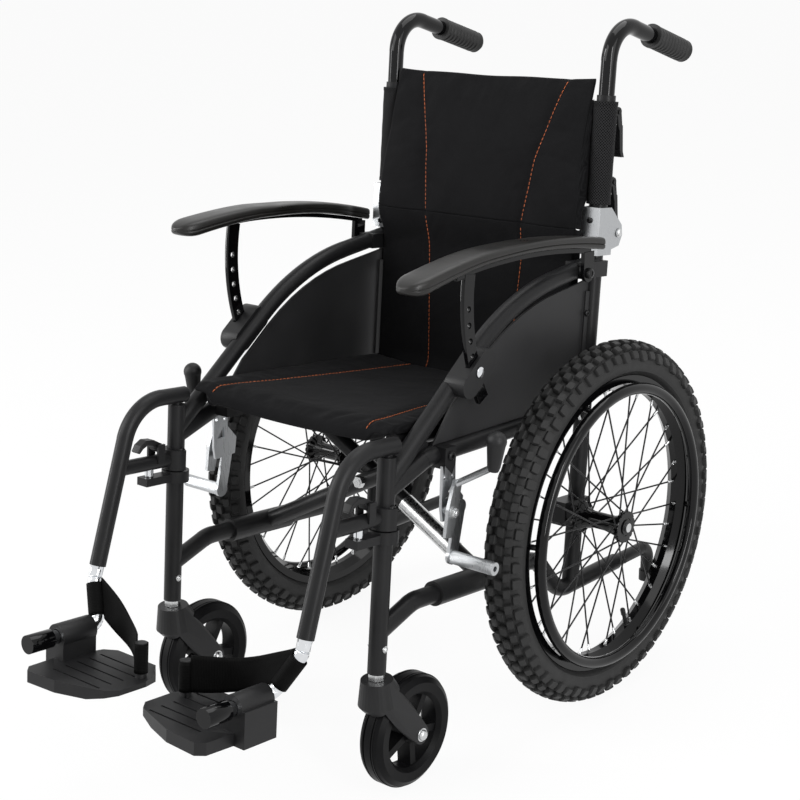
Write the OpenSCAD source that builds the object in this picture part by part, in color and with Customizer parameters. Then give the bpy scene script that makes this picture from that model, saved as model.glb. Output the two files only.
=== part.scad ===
// All-terrain folding wheelchair with knobbly rear tyres and an X-brace fold.
// Millimetres. The chair faces -Y, +X is the user's left and the floor is Z = 0.
// The side frames are drawn square in frame space: y runs back and h runs up, both
// from the rear axle line. frame_place() tips frame space back by frame_pitch.
// Each left piece is drawn once at +X and on_side(-1) mirrors it to the right.

/* [Overall] */
// Half the distance between the centre planes of the two side frames
frame_half_w = 189; // [175:1:210]
// Rearward tip of the side frames over the floor, degrees
frame_pitch = 8.1; // [6:0.1:9]
// Diameter of the side frame tubes
tube_d = 24; // [22:0.5:25]
// Running clearance between moving pieces, on the radius
run_gap = 0.3; // [0.2:0.05:0.5]

/* [Rear wheels] */
// Outside radius of the tyre over its knobs
tyre_r = 258; // [250:1:266]
// Width of the tyre section
tyre_w = 52; // [46:1:56]
// Radius of the bead seat on the rim
rim_seat_r = 203; // [198:1:206]
// Depth of the rim wall below the bead seat
rim_depth = 13; // [9:0.5:18]
// Outside width of the rim
rim_w = 32; // [26:1:36]
// Width of the rim's spoke bed
rim_floor = 10; // [8:1:18]
// Wheel mid-plane, outboard of the side frame
wheel_out = 67.6; // [64:0.2:76]
// Number of knob pitches around the tyre
knob_count = 40; // [30:1:48]
// Height of the knobs over the carcass
knob_h = 6; // [3:0.5:8]
// Radius of the handrim's centre line
handrim_r = 194; // [186:1:200]
// Diameter of the handrim tube
handrim_d = 16; // [12:0.5:20]
// Handrim plane, outboard of the wheel's mid-plane
handrim_out = 30; // [28:0.5:36]
// Number of spokes in a wheel
spoke_count = 36; // [20:4:36]
// Spoke diameter
spoke_d = 2.4; // [2:0.2:3]
// Half the distance between the hub flanges
flange_half = 33; // [28:1:36]
// Diameter of the fixed axle
axle_d = 12.7; // [10:0.1:14]

/* [Side frame] */
// Front post, forward of the rear axle
front_post_y = -398; // [-410:1:-390]
// Top of the front post over the axle line
front_post_top = 142; // [140:1:150]
// Bottom of the front post under the axle line
front_post_bottom = -138; // [-142:1:-134]
// Rear post, behind the rear axle
rear_post_y = 31; // [28:1:36]
// Top of the rear post over the armrest pivot bolt
rear_post_top = 41; // [35:1:50]
// Height of the lower rail's level run
lower_rail_h = -58; // [-64:1:-52]
// Height of the upper rail where it meets the rear post
upper_rail_h = 150; // [146:1:154]
// Rise of the arc tube where it leaves the front post, degrees
arc_rise = 42; // [41:0.5:43]
// Bend radius of the arc tube
arc_bend = 360; // [330:10:400]
// Length of the tip bars behind the rear posts
tip_reach = 212; // [190:1:230]
// Diameter of the tip bar that slides into the rear foot tube
tip_d = 19; // [16:0.5:20]

/* [Fold] */
// Diameter of the brace tubes
brace_d = 24; // [22:0.5:25]
// Diameter of the seat rails
seat_rail_d = 22; // [20:0.5:22]
// Seat rails, inboard of the side frames
seat_rail_in = 27; // [27:0.5:32]
// Height of the seat rails over the axle line
seat_rail_h = 150; // [148:1:154]
// Front end of the seat rails
seat_rail_front = -356; // [-362:1:-350]
// Rear end of the seat rails
seat_rail_rear = -6; // [-20:1:-2]
// Brace A, forward of the rear axle
brace_a_y = -185; // [-190:1:-180]
// Distance from brace A forward to brace B
brace_step = 28; // [28:0.5:32]
// Length of the hinge sleeve of each brace on its lower rail
sleeve_len = 120; // [90:1:130]

/* [Casters] */
// Radius of the caster wheel
caster_r = 76; // [72:1:78]
// Width of the caster tyre
caster_w = 38; // [30:1:40]
// Distance the caster axle trails behind its swivel axis
caster_trail = 50; // [46:1:54]
// Diameter of the caster swivel pin
caster_pin_d = 12; // [10:0.5:14]
// Diameter of the caster axle bolt
caster_axle_d = 10; // [8:0.5:12]

/* [Back] */
// Diameter of the back canes
cane_d = 26; // [25:0.5:28]
// Outside diameter of the mesh sleeve round each cane
cane_sleeve_d = 32; // [30:0.5:34]
// Diameter of the push-handle tubes
handle_d = 22; // [18:0.5:22]
// Top of the canes over the rear posts
cane_top = 198; // [188:1:208]
// Height of the back hinge rivet over the rear posts
back_hinge_h = 10; // [8:0.5:14]
// Back hinge rivet, behind the rear post
back_hinge_out = 31; // [29:0.5:34]
// Height of the push handles' level over the rear posts
handle_h = 286; // [274:1:304]
// Length of a handgrip
grip_len = 98; // [85:1:110]
// Droop of the handgrips, degrees
grip_droop = 11; // [6:0.5:16]

/* [Armrests] */
// Armrest pivot bolt, forward of the rear axle
arm_pivot_y = -15; // [-17:0.5:-13]
// Armrest pivot bolt over the axle line
arm_pivot_h = 345; // [343:0.5:347]
// Radius of the curved stem about the pivot bolt
stem_r = 268; // [262:1:274]
// Angle between two index holes in the stem
stem_step = 4.5; // [3.5:0.25:5]
// Number of index holes
stem_holes = 6; // [4:1:6]
// Width of the pad over the stem
pad_w = 46; // [40:1:50]
// Thickness of the pad
pad_t = 17; // [14:0.5:20]

/* [Front rigging] */
// Diameter of the hanger tube
hanger_d = 22; // [21:0.5:23]
// Diameter of the leg tube inside the hanger
leg_d = 18.6; // [16:0.2:18.8]
// Lower end of the hanger under the axle line
hanger_end_h = -60; // [-66:1:-54]
// Footplate peg under the axle line
peg_h = -130; // [-134:1:-126]
// Footplate peg, inboard of the side frame
peg_in = 28; // [26:1:30]
// Length of the footplate from front to back
plate_len = 130; // [120:1:134]
// Thickness of the footplate
plate_t = 16; // [12:0.5:20]
// Width of the heel strap's webbing
strap_w = 50; // [36:1:52]

/* [Seat and back cover] */
// Thickness of the seat cover between its rails
seat_t = 24; // [16:0.5:26]
// Sag of the seat cover in the middle
seat_sag = 4; // [1:0.5:10]
// Padding of the seat cover over its rails
seat_pad = 13; // [6:0.5:16]
// Thickness of the back cover
back_t = 15; // [11:0.5:18]
// Top of the back cover over the rear posts
back_top = 220; // [210:1:226]
// How far the back cover stands forward at the back hinge
back_waist = 18; // [8:1:20]
// How far its top edge lies behind the line of the posts
back_set = 14; // [6:1:15]

/* [Hidden] */
$fn = 48;

// Colours as the photograph shows them
satin_black = "#2b2b2d";
gloss_black = "#161618";
rubber_black = "#222222";
fabric_black = "#1b1b1d";
alloy_silver = "#b9bbbd";
chrome = "#d7d9dc";

// Named fits and small sizes
seat_gap = 0.3;
bend_lap = 2;
bend_swell = 0.4;
pin_d = 8;
plate_thin = 4;
tube_r = tube_d / 2;
post_top_h = arm_pivot_h + rear_post_top;

// Frame-space points of the tubes, [y, h]
lower_rail_pts = [[front_post_y, lower_rail_h - 26], [front_post_y + 64, lower_rail_h],
    [-62, lower_rail_h], [0, lower_rail_h - 60], [150, lower_rail_h - 48]];
upper_rail_pts = [[front_post_y, upper_rail_h - 52], [front_post_y + 78, upper_rail_h - 20],
    [rear_post_y, upper_rail_h]];
arc_start_h = upper_rail_h - 42;
arc_end_h = arm_pivot_h + 11;
arc_end_slope = 0.2;
arc_corner_y = (arc_end_h - arc_end_slope * rear_post_y - arc_start_h
    + tan(arc_rise) * front_post_y) / (tan(arc_rise) - arc_end_slope);
arc_corner = [arc_corner_y, arc_start_h + tan(arc_rise) * (arc_corner_y - front_post_y)];
arc_pts = [[front_post_y, arc_start_h], arc_corner, [rear_post_y, arc_end_h]];

// Frame space to model space, [y, h] to [y, z], before the move of the origin
function to_world(p) = [p.x * cos(frame_pitch) + p.y * sin(frame_pitch),
    -p.x * sin(frame_pitch) + p.y * cos(frame_pitch) + tyre_r];

// Hanger line: over the front post, down the slanted leg
hanger_top_h = front_post_top + hanger_d / 2 + 1;
hanger_lean = 14.7;
hanger_corner = [front_post_y - 79, hanger_top_h];
hanger_dir = [-sin(hanger_lean), -cos(hanger_lean)];
hanger_end = hanger_corner + hanger_dir * (hanger_top_h - hanger_end_h) / cos(hanger_lean);
hanger_bend = 65;
leg_inside = 120;
peg_x = frame_half_w - peg_in;
peg_start_y = hanger_end.x - 44;
peg_end_y = peg_start_y - 92;
block_rear_y = peg_start_y + 8;
block_front_y = block_rear_y - 54;
plate_rear_y = block_rear_y + 24;
plate_front_y = plate_rear_y - plate_len;
plate_top_h = peg_h - 30;
plate_inner_x = 24;
plate_edge_t = 7;
strap_post = [plate_inner_x + 17, plate_rear_y - 40];
strap_post_d = 15;
strap_post_h = 54;

// Push handle line
handle_bend = 48;
handle_corner = [rear_post_y, post_top_h + handle_h + 16];
grip_dir = [cos(grip_droop), -sin(grip_droop)];
grip_start = handle_corner + grip_dir * 104;
grip_end = grip_start + grip_dir * grip_len;

// The origin is under the middle of the chair's box
front_reach = to_world([plate_front_y, plate_top_h - plate_t]).x;
rear_reach = to_world(grip_end).x + grip_end_r() * sin(frame_pitch + grip_droop);
origin_y = -(front_reach + rear_reach) / 2;
function grip_end_r() = 17;

// Scissor fold: both hinges lie on the lower rails, the seat rails on the brace tops
hinge_x = frame_half_w;
seat_rail_x = frame_half_w - seat_rail_in;
brace_top_h = seat_rail_h - (brace_d + seat_rail_d) / 2 + 1;
brace_slope = (brace_top_h - lower_rail_h) / (hinge_x + seat_rail_x);
brace_centre_h = lower_rail_h + brace_slope * hinge_x;
brace_b_y = brace_a_y - brace_step;
brace_bolt_d = 10;
brace_neck = 46;
brace_neck_d = 14;
sleeve_d = tube_d + 9;

// Armrests: the right one stands in the last index hole, the left one a hole lower
arm_drop = [0, stem_step];
stem_t = 6;
stem_w = 20;
stem_in = frame_half_w + tube_r + 5;
stem_first_hole = 1.5;
button_angle = stem_first_hole + stem_step * (stem_holes - 1);
button_d = 14;
button_travel = 3;
pad_out = frame_half_w + 34;
post_clear_x = frame_half_w + tube_r + 4;

// Brakes, [y, h]
brake_y = -297;
brake_lever_pivot = [brake_y - 3, 60];
brake_arm_pivot = [brake_y + 21, 62];
brake_roller = [brake_y + 10, -3];
brake_roller_d = 17;
brake_plate_x = frame_half_w + tube_r + 4;
brake_arm_x = brake_plate_x + plate_thin + 0.5;
brake_lever_x = brake_arm_x + 5.5;
brake_roller_end = frame_half_w + wheel_out + tyre_w / 2 - 1;
brake_hole_d = 5.5;
brake_hole_gap = 15;

// Back hinge axis, [y, h]
back_axis = [rear_post_y + back_hinge_out, post_top_h + back_hinge_h];
cheek_in = cane_d / 2 + 0.6;
cheek_t = 2.5;

// Caster swivel axis at the foot of the front post
caster_foot = to_world([front_post_y, front_post_bottom]);
caster_head_top = caster_foot.y - 9;
caster_head_r = 21;
caster_pin_in = 28;
caster_fork_in = caster_w / 2 + 3;
caster_leg_t = 6.5;
caster_gap = 6;

// Places and directions
module frame_place() translate([0, origin_y, tyre_r]) rotate([-frame_pitch, 0, 0]) children();
module on_side(s) {
    if (s < 0) mirror([1, 0, 0]) children();
    else children();
}

// Turns local x, y, z into y, h and x, for profiles drawn in a side view
module side_view(x = 0) translate([x, 0, 0]) rotate([90, 0, 90]) children();

function unit(v) = v / norm(v);
function turn_angle(a, b) = atan2(a.x * b.y - a.y * b.x, a * b);
function left_of(v) = [-v.y, v.x];

// Straight round bar between two 3-D points
module rod(a, b, d) {
    v = b - a;
    translate(a)
        rotate([0, acos(v.z / norm(v)), atan2(v.y, v.x)])
            cylinder(h = norm(v), d = d);
}

// Bar between two points of a side view
module side_rod(a, b, d) {
    v = b - a;
    translate([a.x, a.y, 0])
        rotate([0, 0, atan2(v.y, v.x)])
            rotate([0, 90, 0]) cylinder(h = norm(v), d = d);
}

// Tube through side-view points, with the bend radius r at each inner point
module bent_tube(x, pts, r, d) {
    n = len(pts);
    dirs = [for (i = [0 : n - 2]) unit(pts[i + 1] - pts[i])];
    turns = [for (i = [1 : n - 2]) turn_angle(dirs[i - 1], dirs[i])];
    cuts = concat([0], [for (a = turns) r * tan(abs(a) / 2)], [0]);
    side_view(x) {
        // The straights lap into the bends, which are drawn a hair thicker
        for (i = [0 : n - 2])
            side_rod(pts[i] + (cuts[i] - (i > 0 ? bend_lap : 0)) * dirs[i],
                pts[i + 1] - (cuts[i + 1] - (i < n - 2 ? bend_lap : 0)) * dirs[i], d);
        for (i = [1 : n - 2]) {
            start = pts[i] - cuts[i] * dirs[i - 1];
            centre = start + r * sign(turns[i - 1]) * left_of(dirs[i - 1]);
            spoke = start - centre;
            first = atan2(spoke.y, spoke.x) + min(turns[i - 1], 0);
            translate([centre.x, centre.y, 0])
                rotate([0, 0, first])
                    rotate_extrude(angle = abs(turns[i - 1])) translate([r, 0]) circle(d = d + bend_swell);
        }
    }
}

// Bar along x at a side-view point
module cross_bar(p, x0, x1, d) side_view(x0) translate([p.x, p.y, 0]) cylinder(h = x1 - x0, d = d);

// Block along x over a side-view rectangle
module block(x0, x1, y0, y1, h0, h1) translate([x0, y0, h0]) cube([x1 - x0, y1 - y0, h1 - h0]);

// Closed skin over a list of rings that hold the same number of points
module loft(rings) {
    n = len(rings[0]);
    m = len(rings);
    points = [for (r = rings) each r];
    sides = [for (i = [0 : m - 2], j = [0 : n - 1]) each let (k = (j + 1) % n)
        [[i * n + j, (i + 1) * n + k, i * n + k], [i * n + j, (i + 1) * n + j, (i + 1) * n + k]]];
    first = [[for (j = [0 : n - 1]) j]];
    last = [[for (j = [n - 1 : -1 : 0]) (m - 1) * n + j]];
    polyhedron(points, concat(sides, first, last), convexity = 6);
}

// Closed skin over rings that run along one face of a sheet and back along the other
module sheet_loft(rings) {
    n = len(rings[0]);
    m = len(rings);
    points = [for (r = rings) each r];
    sides = [for (i = [0 : m - 2], j = [0 : n - 1]) each let (k = (j + 1) % n)
        [[i * n + j, (i + 1) * n + k, i * n + k], [i * n + j, (i + 1) * n + j, (i + 1) * n + k]]];
    ends = [for (j = [0 : n / 2 - 2]) each let (far = (m - 1) * n, k = n - 1 - j)
        [[j, j + 1, k], [j + 1, k - 1, k], [far + k, far + j + 1, far + j], [far + k, far + k - 1, far + j + 1]]];
    polyhedron(points, concat(sides, ends), convexity = 6);
}

// Heights on the tubes, for pieces that follow them
function upper_rail_at(y) = let (a = upper_rail_pts[1], b = upper_rail_pts[2])
    a.y + (b.y - a.y) * (y - a.x) / (b.x - a.x);
function arc_tangent(y) = arc_start_h + tan(arc_rise) * (y - front_post_y);
arc_turn = arc_rise - atan(arc_end_slope);
arc_cut = arc_bend * tan(arc_turn / 2);
arc_begin = arc_corner - arc_cut * [cos(arc_rise), sin(arc_rise)];
arc_centre = arc_begin + arc_bend * [sin(arc_rise), -cos(arc_rise)];
arc_stop_y = arc_centre.x - arc_bend * sin(atan(arc_end_slope));
function arc_slope(y) = y < arc_begin.x ? tan(arc_rise)
    : y > arc_stop_y ? arc_end_slope : tan(asin((arc_centre.x - y) / arc_bend));
function arc_at(y) = y < arc_begin.x ? arc_tangent(y)
    : y > arc_stop_y ? arc_end_h - arc_end_slope * (rear_post_y - y)
    : arc_centre.y + sqrt(arc_bend ^ 2 - (y - arc_centre.x) ^ 2);

// Side frames

module post_collar(h0, h1, d) translate([frame_half_w, front_post_y, h0]) cylinder(h = h1 - h0, d = d);

module axle_mount() {
    block(frame_half_w - 13, frame_half_w + 13, -15, rear_post_y + 14, -17, 17);
    cross_bar([0, 0], frame_half_w, frame_half_w + wheel_out - flange_half - 4, 26);
    cross_bar([0, 0], frame_half_w, frame_half_w + wheel_out + flange_half + 9, axle_d);
}

module seat_cradle(y) {
    wide = 18;
    rail = upper_rail_at(y);
    groove = seat_rail_d + 1.2;
    difference() {
        block(seat_rail_x - 7, frame_half_w - guard_t / 2 - seat_gap, y - wide / 2, y + wide / 2, rail - 9, seat_rail_h - 2);
        translate([seat_rail_x, y - wide, seat_rail_h]) rotate([-90, 0, 0]) cylinder(h = 2 * wide, d = groove);
    }
}

module armrest_post_mount() {
    block(frame_half_w - 14, frame_half_w + 14, arm_pivot_y - 4, rear_post_y + 14, arm_pivot_h - 9, arm_pivot_h + 13);
    cross_bar([arm_pivot_y, arm_pivot_h], frame_half_w, stem_in - 0.5, 18);
    cross_bar([arm_pivot_y, arm_pivot_h], frame_half_w, stem_in + stem_t + 0.5, pin_d);
    cross_bar([arm_pivot_y, arm_pivot_h], stem_in + stem_t + 0.5, stem_in + stem_t + 4, 14);
}

module hanger_catch() {
    post_collar(34, 50, tube_d + 14);
    block(frame_half_w - 10, frame_half_w + 10, front_post_y - 60, front_post_y, 36, 47);
}

hanger_pin_d = 14;
hanger_pin_len = 44;

module side_frame_solid() {
    frame_place() {
        difference() {
            union() {
                post_collar(front_post_bottom, front_post_top, tube_d);
                hanger_catch();
                bent_tube(frame_half_w, upper_rail_pts, 60, tube_d);
                bent_tube(frame_half_w, arc_pts, arc_bend, tube_d);
            }
            translate([frame_half_w, front_post_y, front_post_top - hanger_pin_len - 2])
                cylinder(h = hanger_pin_len + 10, d = hanger_pin_d + 2 * run_gap);
        }
        translate([frame_half_w, rear_post_y, lower_rail_h - 56])
            cylinder(h = post_top_h - lower_rail_h + 56, d = tube_d);
        difference() {
            bent_tube(frame_half_w, lower_rail_pts, 48, tube_d);
            tip_bore();
        }
        axle_mount();
        armrest_post_mount();
        for (y = [seat_rail_front + 30, seat_rail_rear - 60]) seat_cradle(y);
    }
    caster_pin();
}

// Swivel pin and hex nut of the caster, upright in the model
module caster_pin() translate([frame_half_w, origin_y + caster_foot.x, 0]) {
    translate([0, 0, caster_head_top - caster_pin_in]) cylinder(h = caster_pin_in + 20, d = caster_pin_d);
    translate([0, 0, caster_head_top + 0.5]) cylinder(h = 12, d = 22, $fn = 6);
}

module side_frame(s) color(satin_black) on_side(s) side_frame_solid();

tip_dir = unit(lower_rail_pts[4] - lower_rail_pts[3]);
tip_seat = 34;
module tip_bore() side_view(frame_half_w)
    side_rod(lower_rail_pts[4] - tip_seat * tip_dir, lower_rail_pts[4] + 10 * tip_dir, tip_d + 0.4);

module tip_bar(s) color(gloss_black) on_side(s) frame_place() {
    out = (rear_post_y + tip_reach - lower_rail_pts[4].x) / tip_dir.x;
    corner = lower_rail_pts[4] + out * tip_dir;
    foot = corner + [4, -46];
    bent_tube(frame_half_w, [lower_rail_pts[4] - (tip_seat - 2) * tip_dir, corner, foot], 20, tip_d);
    side_view(frame_half_w) side_rod(foot - 6 * unit(foot - corner), foot + 10 * unit(foot - corner), tip_d + 4);
    // Spring button that holds the bar in the foot tube
    cross_bar(lower_rail_pts[4] + 12 * tip_dir, frame_half_w, frame_half_w + tip_d / 2 + 2.5, 7);
}

// Moulded side guard: its top follows the arc tube, its foot follows the upper rail
guard_t = 3.5;
guard_gap = tube_r + 8;
module side_guard(s) color(satin_black) on_side(s) frame_place() {
    front_y = upper_rail_pts[1].x + 8;
    rear_y = rear_post_y - tube_r - seat_gap;
    rim_steps = 12;
    rim = [for (k = [0 : rim_steps]) let (y = front_y + 36 + k / rim_steps * (rear_y - front_y - 36))
        [y, arc_at(y) - guard_gap * sqrt(1 + arc_slope(y) ^ 2)]];
    outline = concat(rim, [for (y = [rear_y, front_y]) [y, upper_rail_at(y) + tube_r + seat_gap]]);
    side_view(frame_half_w - guard_t / 2) linear_extrude(guard_t) polygon(outline);
    // Stiffening bead along the rear edge
    block(frame_half_w - 5, frame_half_w + 5, rear_y - 9, rear_y, upper_rail_h + 20, arc_end_h - 40);
}

// Slotted bracket on the arc tube that guides and locks the armrest stem
bracket_angle = button_angle + 0.6;
bracket_mid = [arm_pivot_y - stem_r * cos(bracket_angle), arm_pivot_h - stem_r * sin(bracket_angle)];
bracket_out = stem_in + stem_t + 6;
bracket_in = frame_half_w - 2;
module armrest_bracket(s) color(satin_black) on_side(s) frame_place() difference() {
    union() {
        side_view(bracket_in) translate([bracket_mid.x, bracket_mid.y, 0])
            rotate([0, 0, arc_rise]) {
                long = 22;
                high = tube_r + 4;
                translate([-long, -high, 0]) cube([2 * long, 2 * high, bracket_out - bracket_in]);
                for (k = [-1, 1]) translate([k * long, 0, 0])
                    cylinder(h = bracket_out - bracket_in, r = high);
            }
    }
    side_view(frame_half_w) side_rod(arc_pts[0], arc_begin + 40 * [cos(arc_rise), sin(arc_rise)], tube_d + 1.2);
    stem_band(-20, 60, stem_w + 1.2, stem_in - 0.6, stem_t + 1.2);
    cross_bar(stem_point(button_angle), stem_in, bracket_out + 10, button_d + 2 * run_gap);
}

function stem_point(a) = [arm_pivot_y - stem_r * cos(a), arm_pivot_h - stem_r * sin(a)];

// Part of a ring about the armrest pivot, from angle a0 to a1 below the level
module stem_band(a0, a1, wide, x, thick) side_view(x) translate([arm_pivot_y, arm_pivot_h, 0])
    rotate([0, 0, 180 + a0]) rotate_extrude(angle = a1 - a0)
        translate([stem_r - wide / 2, 0]) square([wide, thick]);

module arm_button(s) color(chrome) on_side(s) frame_place()
    translate([bracket_out + 2, 0, 0]) {
        p = stem_point(button_angle);
        under = bracket_out + 2 - stem_in - stem_t - button_travel - seat_gap;
        side_view(0) translate([p.x, p.y, 0]) {
            translate([0, 0, -under]) cylinder(h = under, d = button_d);
            intersection() {
                translate([0, 0, 2 - button_d]) sphere(d = 2 * button_d);
                cylinder(h = button_d, d = button_d);
            }
        }
    }

// Armrests. The pad's underside is a rule in y and h from the pivot: nearly level at
// the back, arched in the middle and dropping to the tip.
pad_back = 24;
pad_tip = -384;
function pad_under(u) = 30 + 17 * sin(180 * min(1, max(0, (24 - u) / 408)) ^ 0.9)
    - 10 * max(0, (-u - 240) / 144) ^ 1.4;
function pad_thick(u) = pad_t + 6 * max(0, (-u - 200) / 184);
function pad_inner(u) = pad_out - 16.5 - (pad_w - 16.5) * min(1, max(0, (-u - 20) / 190)) ^ 0.7;
function tip_round(u) = sqrt(max(0.03, 1 - max(0, (-u + pad_tip + 30) / 30) ^ 2));

function pad_ring(u) = let (
        under = pad_under(u), thick = pad_thick(u) * tip_round(u), lift = (pad_thick(u) - thick) * 0.6,
        mid = (pad_out + pad_inner(u)) / 2, half = (pad_out - pad_inner(u)) / 2 * tip_round(u))
    [for (k = [0 : 15]) let (a = 360 * k / 16 + 11.25, c = cos(a), q = sin(a))
        [mid + half * sign(c) * abs(c) ^ 0.45, arm_pivot_y + u,
         arm_pivot_h + under + lift + thick / 2 + thick / 2 * sign(q) * abs(q) ^ 0.45]];

module armrest_place(s) frame_place() translate([0, arm_pivot_y, arm_pivot_h])
    rotate([arm_drop[s > 0 ? 1 : 0], 0, 0]) translate([0, -arm_pivot_y, -arm_pivot_h]) children();

pad_steps = 22;
module arm_pad(s) color(satin_black) on_side(s) armrest_place(s)
    loft([for (k = [0 : pad_steps]) pad_ring(pad_back + (pad_tip - pad_back) * k / pad_steps)]);

module arm_stem(s) color(gloss_black) on_side(s) armrest_place(s) {
    first = -8;
    difference() {
        union() {
            stem_band(first, button_angle + 5, stem_w, stem_in, stem_t);
            // Lug round the pivot bolt
            cross_bar([arm_pivot_y, arm_pivot_h], stem_in, stem_in + stem_t, 24);
            block(stem_in, stem_in + stem_t, arm_pivot_y - 12, arm_pivot_y + 12, arm_pivot_h, arm_pivot_h + pad_under(0) - 4);
        }
        for (k = [0 : stem_holes - 1]) cross_bar(stem_point(stem_first_hole + k * stem_step), 0, 300, pin_d);
        cross_bar([arm_pivot_y, arm_pivot_h], 0, 300, pin_d + 2 * run_gap);
    }
    // Flat bar under the pad that joins the stem to the lug
    loft([for (k = [1 : 17]) let (u = pad_back + (pad_tip - pad_back) * k / pad_steps, f = pad_under(u) - seat_gap)
        [for (q = [[0.6, -6], [stem_t - 0.6, -6], [stem_t - 0.6, 0], [0.6, 0]])
            [stem_in + q.x, arm_pivot_y + u, arm_pivot_h + f + q.y]]]);
}

// Brakes
module brake_bracket(s) color(alloy_silver) on_side(s) frame_place() {
    rail = upper_rail_at(brake_y);
    difference() {
        block(frame_half_w - tube_r - 4, brake_plate_x + plate_thin, brake_y - 11, brake_y + 11, rail - 17, rail + tube_r - 1.2);
        side_view(frame_half_w) side_rod(upper_rail_pts[1], upper_rail_pts[2], tube_d + 0.4);
    }
    side_view(brake_plate_x) linear_extrude(plate_thin) difference() {
        polygon([[brake_y - 15, rail - 12], [brake_y + 11, rail - 12], [brake_y + 13, 92],
            [brake_arm_pivot.x + 10, 74], [brake_arm_pivot.x + 8, 50], [brake_lever_pivot.x - 6, 46],
            [brake_lever_pivot.x - 10, 64]]);
        for (k = [-1, 1]) translate([brake_y - 2 + k * brake_hole_gap / 2, 104]) circle(d = brake_hole_d);
        polygon([[brake_y - 7, 76], [brake_y + 7, 76], [brake_y + 5, 92]]);
    }
    for (p = [brake_lever_pivot, brake_arm_pivot])
        cross_bar(p, brake_plate_x + plate_thin, p == brake_arm_pivot ? brake_lever_x - 0.4 : brake_lever_x + 6, pin_d);
    cross_bar(brake_lever_pivot, brake_plate_x + plate_thin, brake_lever_x - 0.4, 12);
}

knob_base = [frame_half_w + 82, brake_y + 8, 128];
knob_tip = [frame_half_w + 86, brake_y + 6, 174];
module brake_lever(s) color(alloy_silver) on_side(s) frame_place() {
    p = brake_lever_pivot;
    bend = [brake_lever_x + 2.5, p.x + 8, p.y + 36];
    difference() {
        union() {
            side_view(brake_lever_x) linear_extrude(5)
                polygon([[p.x - 12, p.y - 32], [p.x + 2, p.y - 34], [p.x + 10, p.y], [p.x + 16, p.y + 40],
                    [p.x + 2, p.y + 42], [p.x - 9, p.y + 4]]);
            rod(bend, knob_base, 9);
            translate(bend) sphere(d = 10);
        }
        cross_bar(p, 0, 400, pin_d + 2 * run_gap);
    }
    brake_knob();
}

module brake_knob() {
    v = knob_tip - knob_base;
    translate(knob_base) rotate([0, acos(v.z / norm(v)), atan2(v.y, v.x)])
        rotate_extrude() polygon(concat([[0, -6], [6.5, -6], [8.5, 0]],
            [for (k = [0 : 8]) let (a = -25 + k * 115 / 8) [13 * cos(a), norm(v) - 13 + 13 * sin(a)]]));
}

module brake_arm(s) color(alloy_silver) on_side(s) frame_place() difference() {
    union() {
        cross_bar(brake_arm_pivot, brake_arm_x, brake_arm_x + 5, 20);
        cross_bar(brake_roller, brake_arm_x, brake_arm_x + 5, 20);
        side_view(brake_arm_x) linear_extrude(5)
            polygon([brake_arm_pivot - [9, 0], brake_roller - [9, 0], brake_roller + [9, 0], brake_arm_pivot + [9, 0]]);
        cross_bar(brake_roller, brake_arm_x, brake_roller_end, brake_roller_d);
    }
    cross_bar(brake_arm_pivot, 0, 400, pin_d + 2 * run_gap);
    // Socket in the end of the roller
    side_view(brake_roller_end - 8) translate([brake_roller.x, brake_roller.y, 0]) cylinder(h = 20, d = 8, $fn = 6);
}

// Front rigging
module hanger(s) color(satin_black) on_side(s) frame_place() difference() {
    arm_h = 66;
    arm_y = hanger_corner.x - (hanger_top_h - arm_h) * tan(hanger_lean);
    union() {
        bent_tube(frame_half_w, [[front_post_y + 14, hanger_top_h], hanger_corner, hanger_end], hanger_bend, hanger_d);
        translate([frame_half_w, front_post_y, front_post_top - hanger_pin_len])
            cylinder(h = hanger_pin_len + 8, d = hanger_pin_d);
        side_view(frame_half_w) side_rod([arm_y, arm_h], [front_post_y - tube_r - 4, arm_h], 20);
        difference() {
            post_collar(arm_h - 14, arm_h + 14, tube_d + 14);
            post_collar(arm_h - 20, arm_h + 20, tube_d + 2 * run_gap);
            block(0, 400, front_post_y + 2, front_post_y + 40, arm_h - 20, arm_h + 20);
        }
        // Ears and pin of the latch
        for (k = [-1, 1]) translate([frame_half_w + k * (latch_w / 2 + 2.4) - 1.8, latch_pivot.x - 6, arm_h])
            cube([3.6, 12, latch_pivot.y - arm_h + 5]);
        cross_bar(latch_pivot, frame_half_w - latch_w / 2 - 3, frame_half_w + latch_w / 2 + 3, latch_pin_d);
        // Spring catch under the arm
        translate([frame_half_w, front_post_y - 48, 47 + seat_gap]) cylinder(h = arm_h - 47, d = 12);
    }
    side_view(frame_half_w) side_rod(hanger_end - (leg_inside + 40) * hanger_dir, hanger_end + 20 * hanger_dir, leg_d + 2 * run_gap);
}

latch_pivot = [front_post_y - 36, 87];
latch_w = 15;
latch_pin_d = 4.4;
module hanger_latch(s) color(satin_black) on_side(s) frame_place() difference() {
    p = latch_pivot;
    union() {
        cross_bar(p, frame_half_w - latch_w / 2, frame_half_w + latch_w / 2, 13);
        side_view(frame_half_w - latch_w / 2) linear_extrude(latch_w)
            polygon([p + [2, 6], p + [-10, 12], p + [-23, 13], p + [-33, 7], p + [-38, -2], p + [-35, -4],
                p + [-29, 2], p + [-21, 6], p + [-11, 4], p + [-4, -4]]);
    }
    cross_bar(p, 0, 400, latch_pin_d + 2 * run_gap);
}

// Points on an arc that rounds the corner b between a and c
function fillet(a, b, c, r, n) = let (
        d0 = unit(b - a), d1 = unit(c - b), turn = acos(d0 * d1), cut = r * tan(turn / 2),
        start = b - cut * d0, side = unit(d1 - (d1 * d0) * d0))
    [for (k = [0 : n]) let (t = turn * k / n) start + r * sin(t) * d0 + r * (1 - cos(t)) * side];

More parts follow.
